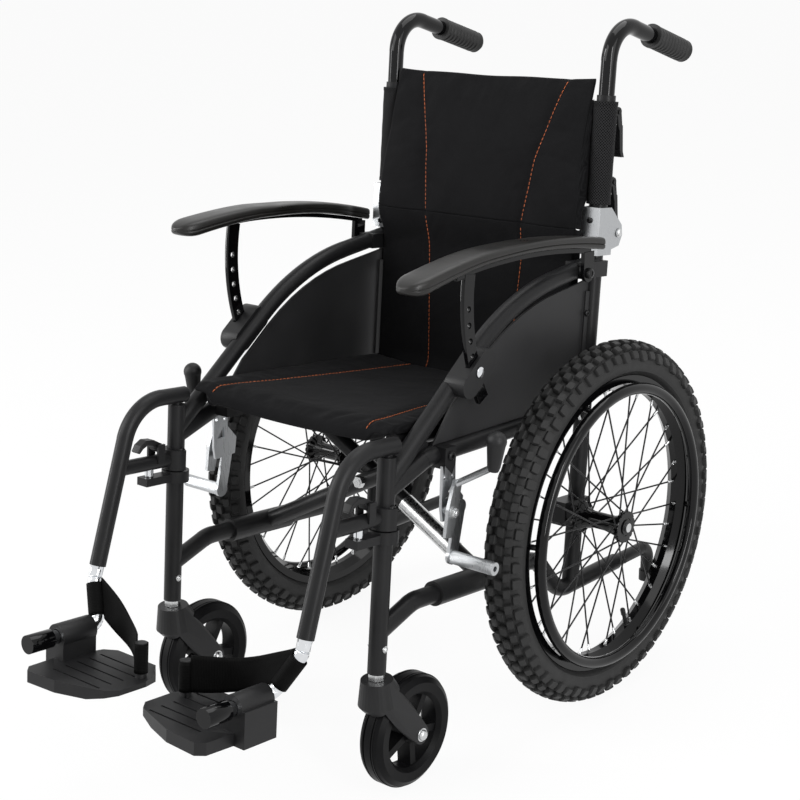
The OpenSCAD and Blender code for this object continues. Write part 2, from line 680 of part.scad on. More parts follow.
// Rings of a round tube along a list of 3-D points
function tube_rings(path, d, sides) = [for (i = [0 : len(path) - 1])
    let (a = path[max(0, i - 1)], b = path[min(len(path) - 1, i + 1)], t = unit(b - a),
        u = unit(cross([0, 0.3, 1], t)), w = cross(t, u))
    [for (k = [0 : sides - 1]) path[i] + d / 2 * (cos(360 * k / sides) * u + sin(360 * k / sides) * w)]];

leg_top = [frame_half_w, hanger_end.x - leg_inside * hanger_dir.x, hanger_end.y - leg_inside * hanger_dir.y];
leg_out = [frame_half_w, hanger_end.x + 4 * hanger_dir.x, hanger_end.y + 4 * hanger_dir.y];
leg_knee = [frame_half_w, hanger_end.x + 20 * hanger_dir.x, hanger_end.y + 20 * hanger_dir.y];
leg_toe = [peg_x, peg_start_y + 22, peg_h];
peg_back = [peg_x, peg_start_y, peg_h];
module leg_tube(s) color(chrome) on_side(s) frame_place() {
    rod(leg_top, leg_out, leg_d);
    lap = unit(leg_knee - leg_out) * 3;
    path = concat([leg_out - lap], fillet(leg_out, leg_knee, leg_toe, 26, 6), fillet(leg_knee, leg_toe, peg_back, 18, 6),
        [peg_back - [0, 3, 0]]);
    loft(tube_rings(path, leg_d - 0.4, 20));
    rod(peg_back, [peg_x, peg_end_y + 4, peg_h], leg_d);
    // End cap on the peg
    rod([peg_x, block_front_y - 10, peg_h], [peg_x, peg_end_y, peg_h], leg_d + 6);
}

module footplate(s) color(satin_black) on_side(s) frame_place() {
    difference() {
        union() {
            translate([peg_x, block_rear_y, peg_h]) rotate([90, 0, 0]) cylinder(h = block_rear_y - block_front_y, d = leg_d + 14);
            block(peg_x - 14, peg_x + 21, block_front_y, block_rear_y, plate_top_h - plate_t, peg_h);
            translate([0, 0, plate_top_h - plate_t]) linear_extrude(plate_t) polygon(plate_outline());
            translate([strap_post.x, strap_post.y, plate_top_h - plate_t / 2]) cylinder(h = strap_post_h, d = strap_post_d);
        }
        rod([peg_x, block_rear_y + 60, peg_h], [peg_x, block_front_y - 60, peg_h], leg_d + 2 * run_gap);
        // The underside rises to a thin inner edge, which clears the other plate as both flip up
        translate([0, plate_rear_y + 1, 0]) rotate([90, 0, 0]) linear_extrude(plate_len + 2)
            polygon([[plate_inner_x - 1, plate_top_h - plate_edge_t], [plate_inner_x - 1, plate_top_h - plate_t - 1],
                [plate_inner_x + 40, plate_top_h - plate_t - 1], [plate_inner_x + 36, plate_top_h - plate_t]]);
        // Grip grooves across the plate
        for (k = [0 : 4]) block(plate_inner_x + 22, peg_x - 26, plate_front_y + 26 + 19 * k, plate_front_y + 29 + 19 * k,
            plate_top_h - 2, plate_top_h + 1);
    }
}

function plate_outline() = [[plate_inner_x, plate_rear_y - 46], [plate_inner_x + 9, plate_rear_y - 22],
    [plate_inner_x + 34, plate_rear_y], [peg_x - 30, plate_rear_y], [peg_x - 14, plate_rear_y - 12],
    [peg_x + 4, block_front_y + 2], [peg_x + 2, plate_front_y + 10], [peg_x - 8, plate_front_y],
    [peg_x - 58, plate_front_y + 3], [plate_inner_x + 12, plate_front_y + 26], [plate_inner_x, plate_front_y + 40]];

// Heel strap: a band of webbing that bows back from the strap post to the leg tube
strap_t = 2.4;
module heel_strap(s) color(fabric_black) on_side(s) frame_place() {
    a = [strap_post.x + strap_post_d / 2 + seat_gap + 0.15 * strap_t, strap_post.y];
    knee = leg_knee;
    b = [knee.x - leg_d / 2 - 3, knee.y + 2];
    slant = [leg_toe.x - knee.x, leg_toe.y - knee.y] / (leg_toe.z - knee.z);
    steps = 14;
    low = plate_top_h + 6;
    loft([for (k = [0 : steps]) let (
            t = k / steps, mid = a + (b - a) * t + [0, 14 * sin(180 * t)],
            away = unit(left_of(b - a)) * strap_t / 2, lift = (knee.z - 28 - low) * t ^ 2)
        [for (q = [[-1, 0], [1, 0], [1, 1], [-1, 1]]) let (
                h = low + lift + q.y * strap_w * (0.92 + 0.08 * cos(180 * t) ^ 2),
                lean = slant * min(0, h - knee.z) * t ^ 2)
            [mid.x + q.x * away.x + lean.x, mid.y + q.x * away.y + lean.y, h]]]);
}

// Casters, upright in the model
module caster_place() translate([frame_half_w, origin_y + caster_foot.x, 0]) children();

module caster_fork(s) color(satin_black) on_side(s) caster_place() difference() {
    union() {
        difference() {
            hull() {
                translate([0, 0, caster_head_top - 34]) cylinder(h = 34, r1 = caster_head_r + 5, r2 = caster_head_r, $fn = 32);
                translate([-caster_fork_in - caster_leg_t, caster_trail, caster_r]) rotate([0, 90, 0])
                    cylinder(h = 2 * (caster_fork_in + caster_leg_t), r = 13, $fn = 32);
            }
            translate([-caster_fork_in, caster_trail, caster_r]) rotate([0, 90, 0])
                cylinder(h = 2 * caster_fork_in, r = caster_r + caster_gap);
        }
        translate([-caster_fork_in - caster_leg_t - 4, caster_trail, caster_r]) rotate([0, 90, 0])
            cylinder(h = 2 * (caster_fork_in + caster_leg_t + 4), d = caster_axle_d);
    }
    translate([0, 0, caster_head_top - 60]) cylinder(h = 100, d = caster_pin_d + 2 * run_gap);
}

module caster_wheel(s) color(rubber_black) on_side(s) caster_place()
    translate([0, caster_trail, caster_r]) rotate([0, 90, 0]) difference() {
        half = caster_w / 2;
        tread = caster_r;
        union() {
            // Grooved tyre moulded on the hub's ring
            rotate_extrude($fn = 72) polygon([[tread - 27, -half + 7], [tread - 22, -half + 1], [tread - 10, -half],
                [tread - 3, -half + 5], [tread, -half + 12], [tread, -9], [tread - 2, -8], [tread - 2, -6], [tread, -5],
                [tread, 5], [tread - 2, 6], [tread - 2, 8], [tread, 9], [tread, half - 12], [tread - 3, half - 5],
                [tread - 10, half], [tread - 22, half - 1], [tread - 27, half - 7]]);
            translate([0, 0, -half - 1]) cylinder(h = 2 * half + 2, d = 30);
            for (k = [0 : 4]) rotate([0, 0, 72 * k])
                translate([10, -5, -half + 8]) cube([tread - 35, 10, 2 * half - 16]);
        }
        translate([0, 0, -50]) cylinder(h = 100, d = caster_axle_d + 2 * run_gap);
    }

// Rear wheels
module wheel_place() translate([frame_half_w + wheel_out, origin_y, tyre_r]) rotate([0, 90, 0]) children();

// Knobbly tyre: one skin whose tread rises in staggered rows of knobs.
// Each station across the section is [across, radius, knob row], row -1 being plain carcass.
carcass_r = tyre_r - knob_h;
bead_r = rim_seat_r + seat_gap;
tyre_half = tyre_w / 2;
bead_half = rim_w / 2 - 4;
function wall_r(share) = bead_r + share * (carcass_r - bead_r);
half_stations = [[tyre_half * 0.3, carcass_r, 0], [tyre_half * 0.66, wall_r(0.96), 1], [tyre_half * 0.97, wall_r(0.73), 1],
    [tyre_half, wall_r(0.53), -1], [bead_half + 0.3, wall_r(0.16), -1], [bead_half, bead_r, -1]];
tyre_stations = concat([for (k = [5 : -1 : 0]) [-half_stations[k].x, half_stations[k].y, half_stations[k].z]], half_stations);
tyre_turns = 4 * knob_count;
function knob_up(row, i) = row < 0 ? 0 : ((i + 2 * row) % 4 < 2 ? 1 : 0);
function tyre_ring(i) = let (a = 360 * i / tyre_turns)
    [for (p = tyre_stations) let (r = p.y + knob_h * knob_up(p.z, i) * (abs(p.x) > tyre_half * 0.9 ? 0.45 : 1))
        [r * cos(a), r * sin(a), p.x]];
module tyre(s) color(rubber_black) on_side(s) wheel_place() {
    n = len(tyre_stations);
    points = [for (i = [0 : tyre_turns - 1]) each tyre_ring(i)];
    faces = [for (i = [0 : tyre_turns - 1], j = [0 : n - 1]) each let (
            i2 = (i + 1) % tyre_turns, j2 = (j + 1) % n, a = i * n + j, b = i * n + j2, c = i2 * n + j2, d = i2 * n + j)
        [[a, b, c], [a, c, d]]];
    polyhedron(points, faces, convexity = 12);
}

module rim(s) color(gloss_black) on_side(s) wheel_place() rotate_extrude($fn = 96) {
    half = rim_w / 2;
    low = rim_seat_r - rim_depth;
    polygon([[low, -rim_floor / 2], [rim_seat_r - 4, -half], [rim_seat_r + 7, -half], [rim_seat_r + 7, -half + 2.5],
        [rim_seat_r, -half + 3], [rim_seat_r - 4, -half + 9], [rim_seat_r - 4, half - 9], [rim_seat_r, half - 3],
        [rim_seat_r + 7, half - 2.5], [rim_seat_r + 7, half], [rim_seat_r - 4, half], [low, rim_floor / 2]]);
}

flange_r = 22;
module hub(s) color(gloss_black) on_side(s) wheel_place() {
    difference() {
        union() {
            rotate_extrude() polygon([[0, -flange_half - 2], [flange_r, -flange_half - 2], [flange_r, -flange_half + 2],
                [15, -flange_half + 6], [12, -flange_half + 16], [12, flange_half - 16], [15, flange_half - 6],
                [flange_r, flange_half - 2], [flange_r, flange_half + 2], [11, flange_half + 4], [11, flange_half + 6],
                [0, flange_half + 6]]);
            spokes();
        }
        translate([0, 0, -100]) cylinder(h = 200, d = axle_d + 2 * run_gap);
    }
}

// Crossed spokes: pairs lean both ways from each flange to the rim
module spokes() {
    outer = rim_seat_r - rim_depth - seat_gap;
    lean = 60;
    for (k = [0 : spoke_count - 1]) {
        side = k % 2 == 0 ? 1 : -1;
        way = floor(k / 2) % 2 == 0 ? 1 : -1;
        a = 360 * k / spoke_count;
        foot = a + way * lean;
        rod([(flange_r - 4) * cos(foot), (flange_r - 4) * sin(foot), side * (flange_half + way)],
            [outer * cos(a), outer * sin(a), side * 3], spoke_d);
    }
}

module handrim(s) color(gloss_black) on_side(s) wheel_place() {
    translate([0, 0, handrim_out]) rotate_extrude($fn = 96) translate([handrim_r, 0]) circle(d = handrim_d, $fn = 32);
    for (k = [0 : 5]) rotate([0, 0, 60 * k + 20])
        rod([rim_seat_r - 3, 0, rim_w / 2 + seat_gap], [handrim_r + 2, 0, handrim_out - handrim_d / 4], 8);
}

// Folding back
module back_hinge(s) color(alloy_silver) on_side(s) frame_place() {
    wide = cheek_in + cheek_t;
    difference() {
        block(frame_half_w - wide, frame_half_w + wide, rear_post_y - wide - 2, rear_post_y + wide, post_top_h - 20, post_top_h);
        translate([frame_half_w, rear_post_y, 0]) cylinder(h = 800, d = tube_d + 0.4);
    }
    block(frame_half_w - wide, frame_half_w + wide, rear_post_y - wide - 2, rear_post_y - wide + 0.5, post_top_h - 20, post_top_h + 46);
    for (k = [-1, 1]) side_view(frame_half_w + k * (cheek_in + cheek_t / 2) - cheek_t / 2) linear_extrude(cheek_t)
        polygon([[rear_post_y - wide - 2, post_top_h - 20], [back_axis.x + 4, post_top_h - 8], [back_axis.x + 11, back_axis.y - 3],
            [back_axis.x + 8, back_axis.y + 11], [rear_post_y + 10, post_top_h + 46], [rear_post_y - wide - 2, post_top_h + 46]]);
    cross_bar(back_axis, frame_half_w - wide - 1.5, frame_half_w + wide + 1.5, pin_d);
}

module back_cane(s) color(satin_black) on_side(s) frame_place() difference() {
    union() {
        translate([frame_half_w, rear_post_y, post_top_h + 0.6]) cylinder(h = cane_top - 0.6, d = cane_d);
        // Mesh sleeve of the back cover round the cane
        translate([frame_half_w, rear_post_y, cane_sleeve_low])
            cylinder(h = cane_sleeve_top - cane_sleeve_low, d = cane_sleeve_d);
        // Hinge lug between the cheeks
        cross_bar(back_axis, frame_half_w - 9, frame_half_w + 9, 17);
        block(frame_half_w - 9, frame_half_w + 9, rear_post_y, back_axis.x, back_axis.y - 8, back_axis.y + 8.5);
        // Ears for the two levers
        for (h = [release_pivot.y, clamp_pivot.y])
            block(frame_half_w - 3, frame_half_w + 3, rear_post_y, release_pivot.x + 6, h - 7, h + 7);
        for (p = [release_pivot, clamp_pivot]) cross_bar(p, frame_half_w - 9, frame_half_w + 9, 6);
    }
    translate([frame_half_w, rear_post_y, handle_foot - 2]) cylinder(h = 400, d = handle_d + 2 * run_gap);
    cross_bar(back_axis, 0, 400, pin_d + 2 * run_gap);
}

release_pivot = [rear_post_y + cane_sleeve_d / 2 + 8, post_top_h + 80];
clamp_pivot = [rear_post_y + cane_sleeve_d / 2 + 8, post_top_h + 176];
handle_foot = post_top_h + 92;
cane_sleeve_low = post_top_h + 50;
cane_sleeve_top = post_top_h + cane_top - 8;

// Forked lever: two cheeks beside an ear, joined by a curved thumb blade
module forked_lever(p, long, away) {
    cheek = 4;
    for (k = [-1, 1]) difference() {
        union() {
            cross_bar(p, frame_half_w + k * (3.4 + cheek / 2) - cheek / 2, frame_half_w + k * (3.4 + cheek / 2) + cheek / 2, 13);
            side_view(frame_half_w + k * (3.4 + cheek / 2) - cheek / 2) linear_extrude(cheek)
                polygon([p + [-2, -6], p + [6.4, -1], p + [away, -24], p + [away - 7, -26]]);
        }
        cross_bar(p, 0, 400, 6 + 2 * run_gap);
    }
    side_view(frame_half_w - 3.4 - cheek) linear_extrude(6.8 + 2 * cheek)
        polygon([p + [away - 8, -18], p + [away, -18], p + [away + 5, -long + 8], p + [away + 9, -long], p + [away + 2, -long], p + [away - 3, -long + 10]]);
}

module handle_clamp(s) color(satin_black) on_side(s) frame_place() forked_lever(clamp_pivot, 62, 12);
module back_release(s) color(satin_black) on_side(s) frame_place() forked_lever(release_pivot, 56, 12);

module push_handle(s) color(gloss_black) on_side(s) frame_place()
    bent_tube(frame_half_w, [[rear_post_y, handle_foot], handle_corner, grip_end - 6 * grip_dir], handle_bend, handle_d);

// Ribbed rubber grip with a hand flange and a rounded end
module grip(s) color(rubber_black) on_side(s) frame_place()
    side_view(frame_half_w) translate([grip_start.x, grip_start.y, 0]) rotate([0, 0, -grip_droop]) rotate([0, 90, 0]) {
        bore = handle_d / 2 + 0.2;
        wall = bore + 4;
        ribs = 9;
        pitch = (grip_len - 22) / ribs;
        rotate_extrude() polygon(concat([[bore, 0], [grip_end_r(), 0], [grip_end_r(), 5], [wall, 8]],
            [for (k = [0 : ribs - 1]) each [[wall, 10 + k * pitch], [wall + 1.2, 10 + (k + 0.2) * pitch],
                [wall + 1.2, 10 + (k + 0.6) * pitch], [wall, 10 + (k + 0.8) * pitch]]],
            [[wall + 1, grip_len - 6], [wall - 3, grip_len], [0, grip_len], [0, grip_len - 5.5], [bore, grip_len - 5.5]]));
    }

// Scissor braces. Each is a tube with a hinge sleeve on its lower rail and a seat rail on top.
module brace(way, y, bored) {
    foot = [way * hinge_x, y, lower_rail_h];
    head = [-way * seat_rail_x, y, brace_top_h];
    neck = head - brace_neck * unit(head - foot);
    sleeve_y = brace_a_y + 14 - sleeve_len;
    difference() {
        union() {
            rod(foot, neck, brace_d);
            rod(neck - 6 * unit(head - foot), [head.x, y, seat_rail_h], brace_neck_d);
            translate([way * hinge_x, sleeve_y, lower_rail_h]) rotate([-90, 0, 0]) cylinder(h = sleeve_len, d = sleeve_d);
            translate([-way * seat_rail_x, seat_rail_front, seat_rail_h]) rotate([-90, 0, 0])
                cylinder(h = seat_rail_rear - seat_rail_front, d = seat_rail_d);
        }
        translate([way * hinge_x, -600, lower_rail_h]) rotate([-90, 0, 0]) cylinder(h = 700, d = tube_d + 2 * run_gap);
        if (bored) translate([0, y - 60, brace_centre_h]) rotate([-90, 0, 0]) cylinder(h = 120, d = brace_bolt_d + 2 * run_gap);
    }
}

module brace_a() color(satin_black) frame_place() {
    brace(1, brace_a_y, false);
    // Bright reinforcing sleeve on the lower half
    foot = [hinge_x, brace_a_y, lower_rail_h];
    mid = [0, brace_a_y, brace_centre_h];
    rod(foot + 0.26 * (mid - foot), foot + 0.74 * (mid - foot), brace_d + 2);
}

module brace_b() color(satin_black) frame_place() brace(-1, brace_b_y, true);

module brace_bolt() color(chrome) frame_place() translate([0, 0, brace_centre_h]) rotate([90, 0, 0]) {
    face = -brace_a_y + brace_d / 2 + seat_gap;
    front = -brace_b_y + brace_d / 2 + seat_gap;
    translate([0, 0, face]) cylinder(h = front + 8 - face, d = brace_bolt_d);
    translate([0, 0, face]) cylinder(h = brace_step - brace_d - 2 * seat_gap, d = 20);
    translate([0, 0, front]) cylinder(h = 7, d = 17, $fn = 6);
}

// Seat cover: a padded sling over the seat rails that sags in the middle and rolls over at the front
seat_half = seat_rail_x + seat_rail_d / 2 + 3;
seat_front_y = seat_rail_front - 26;
seat_back_y = seat_rail_rear - 2;
function seat_edge(x) = max(0, min(1, (abs(x) - seat_rail_x + 22) / 10));
function seat_top(x, y) = let (
        hem = seat_rail_h + seat_rail_d / 2 + seat_pad, dip = 1 + seat_sag * cos(90 * min(1, abs(x) / (seat_rail_x - 20))),
        roll = max(0, (seat_front_y + 18 - y) / 18))
    hem - dip * (1 - seat_edge(x)) - 9 * roll ^ 2;
function seat_bottom(x, y) = min(seat_top(x, y) - 3,
    seat_top(x, y) - seat_t * (1 - seat_edge(x)) - (seat_pad - 2 * seat_gap) * seat_edge(x));
seat_cols = 24;
seat_rows = 18;
module seat_cover() color(fabric_black) frame_place()
    sheet_loft([for (k = [seat_rows : -1 : 0]) let (y = seat_front_y + (seat_back_y - seat_front_y) * k / seat_rows,
            half = seat_half - 4 * max(0, (seat_front_y + 40 - y) / 40) ^ 2)
        concat([for (j = [0 : seat_cols]) let (x = -half + 2 * half * j / seat_cols) [x, y, seat_bottom(x, y)]],
            [for (j = [seat_cols : -1 : 0]) let (x = -half + 2 * half * j / seat_cols) [x, y, seat_top(x, y)]])]);

// Back cover in two pieces that part at the back hinge
back_face_y = rear_post_y - 10;
back_split = back_axis.y + 6;
// Its side edges rest against the tops of the cane sleeves
back_edge = 0.45;
back_edge_y = back_face_y - back_t / 2 * (1 - back_edge) + back_rake(cane_sleeve_top);
back_half = frame_half_w - sqrt((cane_sleeve_d / 2 + seat_gap) ^ 2 - (rear_post_y - back_edge_y) ^ 2);
function back_crown(x) = 1 - (1 - back_edge) * abs(x / back_half) ^ 4;
function back_bow(x) = 7 * cos(90 * x / back_half);
// The cover stands forward at the back hinge, leans back to its top edge and is a little wider at the hinge
function back_rake(h) = let (up = max(0, h - back_split) / (post_top_h + back_top - back_split),
        down = max(0, back_split - h) / (back_split - seat_rail_h - 22))
    -back_waist + (back_waist + back_set) * up ^ 1.6 + 6 * down ^ 2;
function back_wide(h) = back_half + 3 * max(0, 1 - (max(h - back_split, 4 * (back_split - h)) / 110) ^ 2);
back_cols = 20;

// Sheet between two heights: each point is [lift off the mid-line, height], up the back and down the front
function back_rows(n, low, high) = concat(
    [for (k = [0 : n]) [1, low + (high - low) * k / n]],
    [for (k = [n : -1 : 0]) [-1, low + (high - low) * k / n]]);
module back_panel(low, high, n) color(fabric_black) frame_place()
    sheet_loft([for (j = [0 : back_cols]) let (x = -back_half + 2 * back_half * j / back_cols)
        [for (p = back_rows(n, low, high))
            [x * back_wide(p.y) / back_half, back_face_y + back_bow(x) + back_rake(p.y) - back_t / 2
                + p.x * back_t / 2 * back_crown(x) * back_hem(p.y, low, high), p.y]]]);

// The cover thins to a hem at its top and bottom edges
function back_hem(h, low, high) = let (d = min(h - low, high - h)) d < 1 ? 0.45 : 1;

module back_cover_upper() back_panel(back_split, post_top_h + back_top, 10);
module back_cover_lower() back_panel(seat_rail_h + 22, back_split - 1, 8);

side_frame(1);  // left_side_frame
side_frame(-1);  // right_side_frame
side_guard(1);  // left_side_guard
side_guard(-1);  // right_side_guard
armrest_bracket(1);  // left_armrest_bracket
armrest_bracket(-1);  // right_armrest_bracket
tip_bar(1);  // left_tip_bar
tip_bar(-1);  // right_tip_bar
back_hinge(1);  // left_back_hinge
back_hinge(-1);  // right_back_hinge
brake_bracket(1);  // left_brake_bracket
brake_bracket(-1);  // right_brake_bracket
brake_lever(1);  // left_brake_lever
brake_lever(-1);  // right_brake_lever
brake_arm(1);  // left_brake_arm
brake_arm(-1);  // right_brake_arm
arm_pad(1);  // left_arm_pad
arm_pad(-1);  // right_arm_pad
arm_stem(1);  // left_arm_stem
arm_stem(-1);  // right_arm_stem
arm_button(1);  // left_arm_button
arm_button(-1);  // right_arm_button
hanger(1);  // left_hanger
hanger(-1);  // right_hanger
hanger_latch(1);  // left_hanger_latch
hanger_latch(-1);  // right_hanger_latch
leg_tube(1);  // left_leg_tube
leg_tube(-1);  // right_leg_tube
footplate(1);  // left_footplate
footplate(-1);  // right_footplate
heel_strap(1);  // left_heel_strap
heel_strap(-1);  // right_heel_strap
caster_fork(1);  // left_caster_fork
caster_fork(-1);  // right_caster_fork
caster_wheel(1);  // left_caster_wheel
caster_wheel(-1);  // right_caster_wheel
tyre(1);  // left_tyre
tyre(-1);  // right_tyre
rim(1);  // left_rim
rim(-1);  // right_rim
hub(1);  // left_hub
hub(-1);  // right_hub
handrim(1);  // left_handrim
handrim(-1);  // right_handrim
back_cane(1);  // left_back_cane
back_cane(-1);  // right_back_cane
push_handle(1);  // left_push_handle
push_handle(-1);  // right_push_handle
grip(1);  // left_grip
grip(-1);  // right_grip
handle_clamp(1);  // left_handle_clamp
handle_clamp(-1);  // right_handle_clamp
back_release(1);  // left_back_release
back_release(-1);  // right_back_release
brace_a();
brace_b();
brace_bolt();
seat_cover();
back_cover_upper();
back_cover_lower();
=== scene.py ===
"""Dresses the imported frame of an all-terrain folding wheelchair.

Lengths in the mesh code are millimetres in frame space, as in the part's source: x to the user's
left, y back and h up from the rear axle line. place() turns them into metres in the row frame.
"""

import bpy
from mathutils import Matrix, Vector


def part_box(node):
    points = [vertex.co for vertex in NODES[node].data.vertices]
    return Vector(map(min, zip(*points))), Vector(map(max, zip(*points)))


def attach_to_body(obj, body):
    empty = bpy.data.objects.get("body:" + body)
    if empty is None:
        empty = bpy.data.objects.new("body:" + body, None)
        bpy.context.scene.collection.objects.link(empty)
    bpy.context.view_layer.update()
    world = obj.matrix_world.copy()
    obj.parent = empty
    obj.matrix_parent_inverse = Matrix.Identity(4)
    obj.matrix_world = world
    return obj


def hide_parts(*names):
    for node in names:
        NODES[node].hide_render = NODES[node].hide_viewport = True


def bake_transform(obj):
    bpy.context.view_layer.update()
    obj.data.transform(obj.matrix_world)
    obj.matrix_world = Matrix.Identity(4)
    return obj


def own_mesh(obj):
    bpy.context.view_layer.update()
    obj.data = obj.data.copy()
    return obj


bl_info = {
    "name": "All-terrain folding wheelchair",
    "version": (1, 0, 0),
    "blender": (4, 5, 0),
    "location": "View3D > Sidebar > Wheelchair",
    "description": "Tyres, covers, pads, fittings and finishes of a folding wheelchair on its CAD frame",
    "category": "Object",
}

import math

import bmesh
import bpy
import numpy as np
from mathutils import Matrix, Vector

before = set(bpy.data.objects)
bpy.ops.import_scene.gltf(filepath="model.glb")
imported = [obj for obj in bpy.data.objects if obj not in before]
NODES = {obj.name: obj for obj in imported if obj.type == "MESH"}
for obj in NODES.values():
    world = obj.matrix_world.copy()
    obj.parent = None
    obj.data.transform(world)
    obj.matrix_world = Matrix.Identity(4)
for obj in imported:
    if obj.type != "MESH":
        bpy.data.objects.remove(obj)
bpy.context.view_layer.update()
SIDES = (("left", 1), ("right", -1))

# The rear axle is the middle of the tyre, and the side frames lean back over it
TYRE_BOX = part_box("left_tyre")
WHEEL_X = (TYRE_BOX[0].x + TYRE_BOX[1].x) / 2
AXLE_Y = (TYRE_BOX[0].y + TYRE_BOX[1].y) / 2
AXLE_Z = (TYRE_BOX[0].z + TYRE_BOX[1].z) / 2
AXLE = np.array([0, AXLE_Y, AXLE_Z])
PITCH = math.radians(8.1)
LEAN = np.array([
    [1, 0, 0],
    [0, math.cos(PITCH), math.sin(PITCH)],
    [0, -math.sin(PITCH), math.cos(PITCH)],
])

# Places that several pieces share, in frame space
FRAME_X = 189
REAR_POST_Y = 31
SPLIT_H = 401.5


def place(points):
    """Metres in the row frame of frame-space points in millimetres."""
    return np.asarray(points, float) @ LEAN.T / 1000 + AXLE


def unplace(points):
    """Frame-space millimetres of points in metres."""
    return (np.asarray(points, float) - AXLE) * 1000 @ LEAN


def colour(code):
    """Linear RGBA of an sRGB hex value."""
    parts = [int(code[k:k + 2], 16) / 255 for k in (1, 3, 5)]
    return tuple(c / 12.92 if c <= 0.04045 else ((c + 0.055) / 1.055) ** 2.4 for c in parts) + (1.0,)


# Sizes and colours that a user would change


class ChairColours(bpy.types.PropertyGroup):
    frame_black: bpy.props.FloatVectorProperty(
        name="Frame black", description="Powder coat of the side frames and braces",
        subtype="COLOR", default=colour("#141415")[:3], min=0, max=1)
    cover_black: bpy.props.FloatVectorProperty(
        name="Cover black", description="Yarn of the seat and back covers",
        subtype="COLOR", default=colour("#161617")[:3], min=0, max=1)
    thread_orange: bpy.props.FloatVectorProperty(
        name="Thread orange", description="Contrast thread of the sewn lines",
        subtype="COLOR", default=colour("#c05f28")[:3], min=0, max=1)
    tyre_black: bpy.props.FloatVectorProperty(
        name="Tyre black", description="Rubber of the rear tyres",
        subtype="COLOR", default=colour("#1f1f1f")[:3], min=0, max=1)
    alloy_silver: bpy.props.FloatVectorProperty(
        name="Alloy silver", description="Bare aluminium of the brakes and back hinges",
        subtype="COLOR", default=colour("#b6b8ba")[:3], min=0, max=1)


class TyreSizes(bpy.types.PropertyGroup):
    lug_count: bpy.props.IntProperty(
        name="Lugs around", description="Lug pitches round the tread", default=68, min=40, max=100)
    centre_height: bpy.props.FloatProperty(
        name="Centre lug height", description="Height of the middle rows over the carcass",
        default=0.0074, min=0.002, max=0.009, unit="LENGTH", precision=4)
    side_height: bpy.props.FloatProperty(
        name="Side lug height", description="Height of the rows beside the middle",
        default=0.0070, min=0.002, max=0.009, unit="LENGTH", precision=4)
    shoulder_height: bpy.props.FloatProperty(
        name="Shoulder lug height", description="Height of the lugs that wrap on to the sidewall",
        default=0.0050, min=0.001, max=0.006, unit="LENGTH", precision=4)


class CoverSizes(bpy.types.PropertyGroup):
    stitch_length: bpy.props.FloatProperty(
        name="Stitch length", description="Length of one visible stitch",
        default=0.0052, min=0.002, max=0.01, unit="LENGTH", precision=4)
    stitch_gap: bpy.props.FloatProperty(
        name="Stitch gap", description="Space between two stitches",
        default=0.0012, min=0.0005, max=0.005, unit="LENGTH", precision=4)
    thread_width: bpy.props.FloatProperty(
        name="Thread width", description="Thickness of the contrast thread",
        default=0.00095, min=0.0004, max=0.003, unit="LENGTH", precision=4)
    pressure: bpy.props.FloatProperty(
        name="Padding pressure", description="How hard the padding pushes the cloth out",
        default=4.0, min=0, max=20)
    spare_cloth: bpy.props.FloatProperty(
        name="Spare cloth", description="Share by which the cloth is cut larger than its frame",
        default=0.02, min=0, max=0.1, subtype="FACTOR")
    seat_puff: bpy.props.FloatProperty(
        name="Most seat puff", description="How far the padding may lift the seat's cloth",
        default=0.0028, min=0, max=0.016, unit="LENGTH", precision=4)
    back_puff: bpy.props.FloatProperty(
        name="Most back puff", description="How far the padding may lift the back's front cloth",
        default=0.0075, min=0, max=0.016, unit="LENGTH", precision=4)


class StudioSettings(bpy.types.PropertyGroup):
    floor_white: bpy.props.FloatVectorProperty(
        name="Floor", description="Colour of the studio floor",
        subtype="COLOR", default=colour("#f4f4f4")[:3], min=0, max=1)
    key_power: bpy.props.FloatProperty(
        name="Key light", description="Power of the large soft light",
        default=60, min=0, unit="POWER")
    fill_power: bpy.props.FloatProperty(
        name="Fill light", description="Power of the light from the other side",
        default=24, min=0, unit="POWER")
    top_power: bpy.props.FloatProperty(
        name="Top light", description="Power of the light overhead",
        default=38, min=0, unit="POWER")
    strip_power: bpy.props.FloatProperty(
        name="Strip lights", description="Power of each tall light that draws a line down the tubes",
        default=34, min=0, unit="POWER")
    lens: bpy.props.FloatProperty(
        name="Lens", description="Focal length on a 36 mm sensor",
        default=73.4, min=20, max=200, unit="CAMERA")


# Materials

# A wave texture's band is this many metres wide at a scale of 1
WAVE_BAND = 0.314


def add_node(tree, kind, links=None, **settings):
    """Adds a node, sets it, and fills its sockets with values or links."""
    node = tree.nodes.new(kind)
    for key, value in settings.items():
        setattr(node, key, value)
    for key, value in (links or {}).items():
        socket = node.inputs[key]
        if isinstance(value, bpy.types.NodeSocket):
            tree.links.new(value, socket)
        else:
            socket.default_value = value
    return node


def start_material(name):
    """An empty node material of that name."""
    material = bpy.data.materials.new(name)
    material.use_nodes = True
    material.node_tree.nodes.clear()
    return material, material.node_tree


def set_stops(ramp, low, high):
    """Gives the two stops of a colour ramp their places and colours."""
    for k, (position, tone) in enumerate((low, high)):
        ramp.color_ramp.elements[k].position = position
        ramp.color_ramp.elements[k].color = tone


def chair_tone(name, lift=0.0):
    """One of the user's colours as RGBA, lightened by lift."""
    tone = getattr(bpy.context.scene.chair_colours, name)
    return tuple(min(1.0, c + lift) for c in tone) + (1.0,)


def scaled(tone, share):
    """A colour made darker or lighter by a share."""
    return tuple(c * share for c in tone[:3]) + (1.0,)


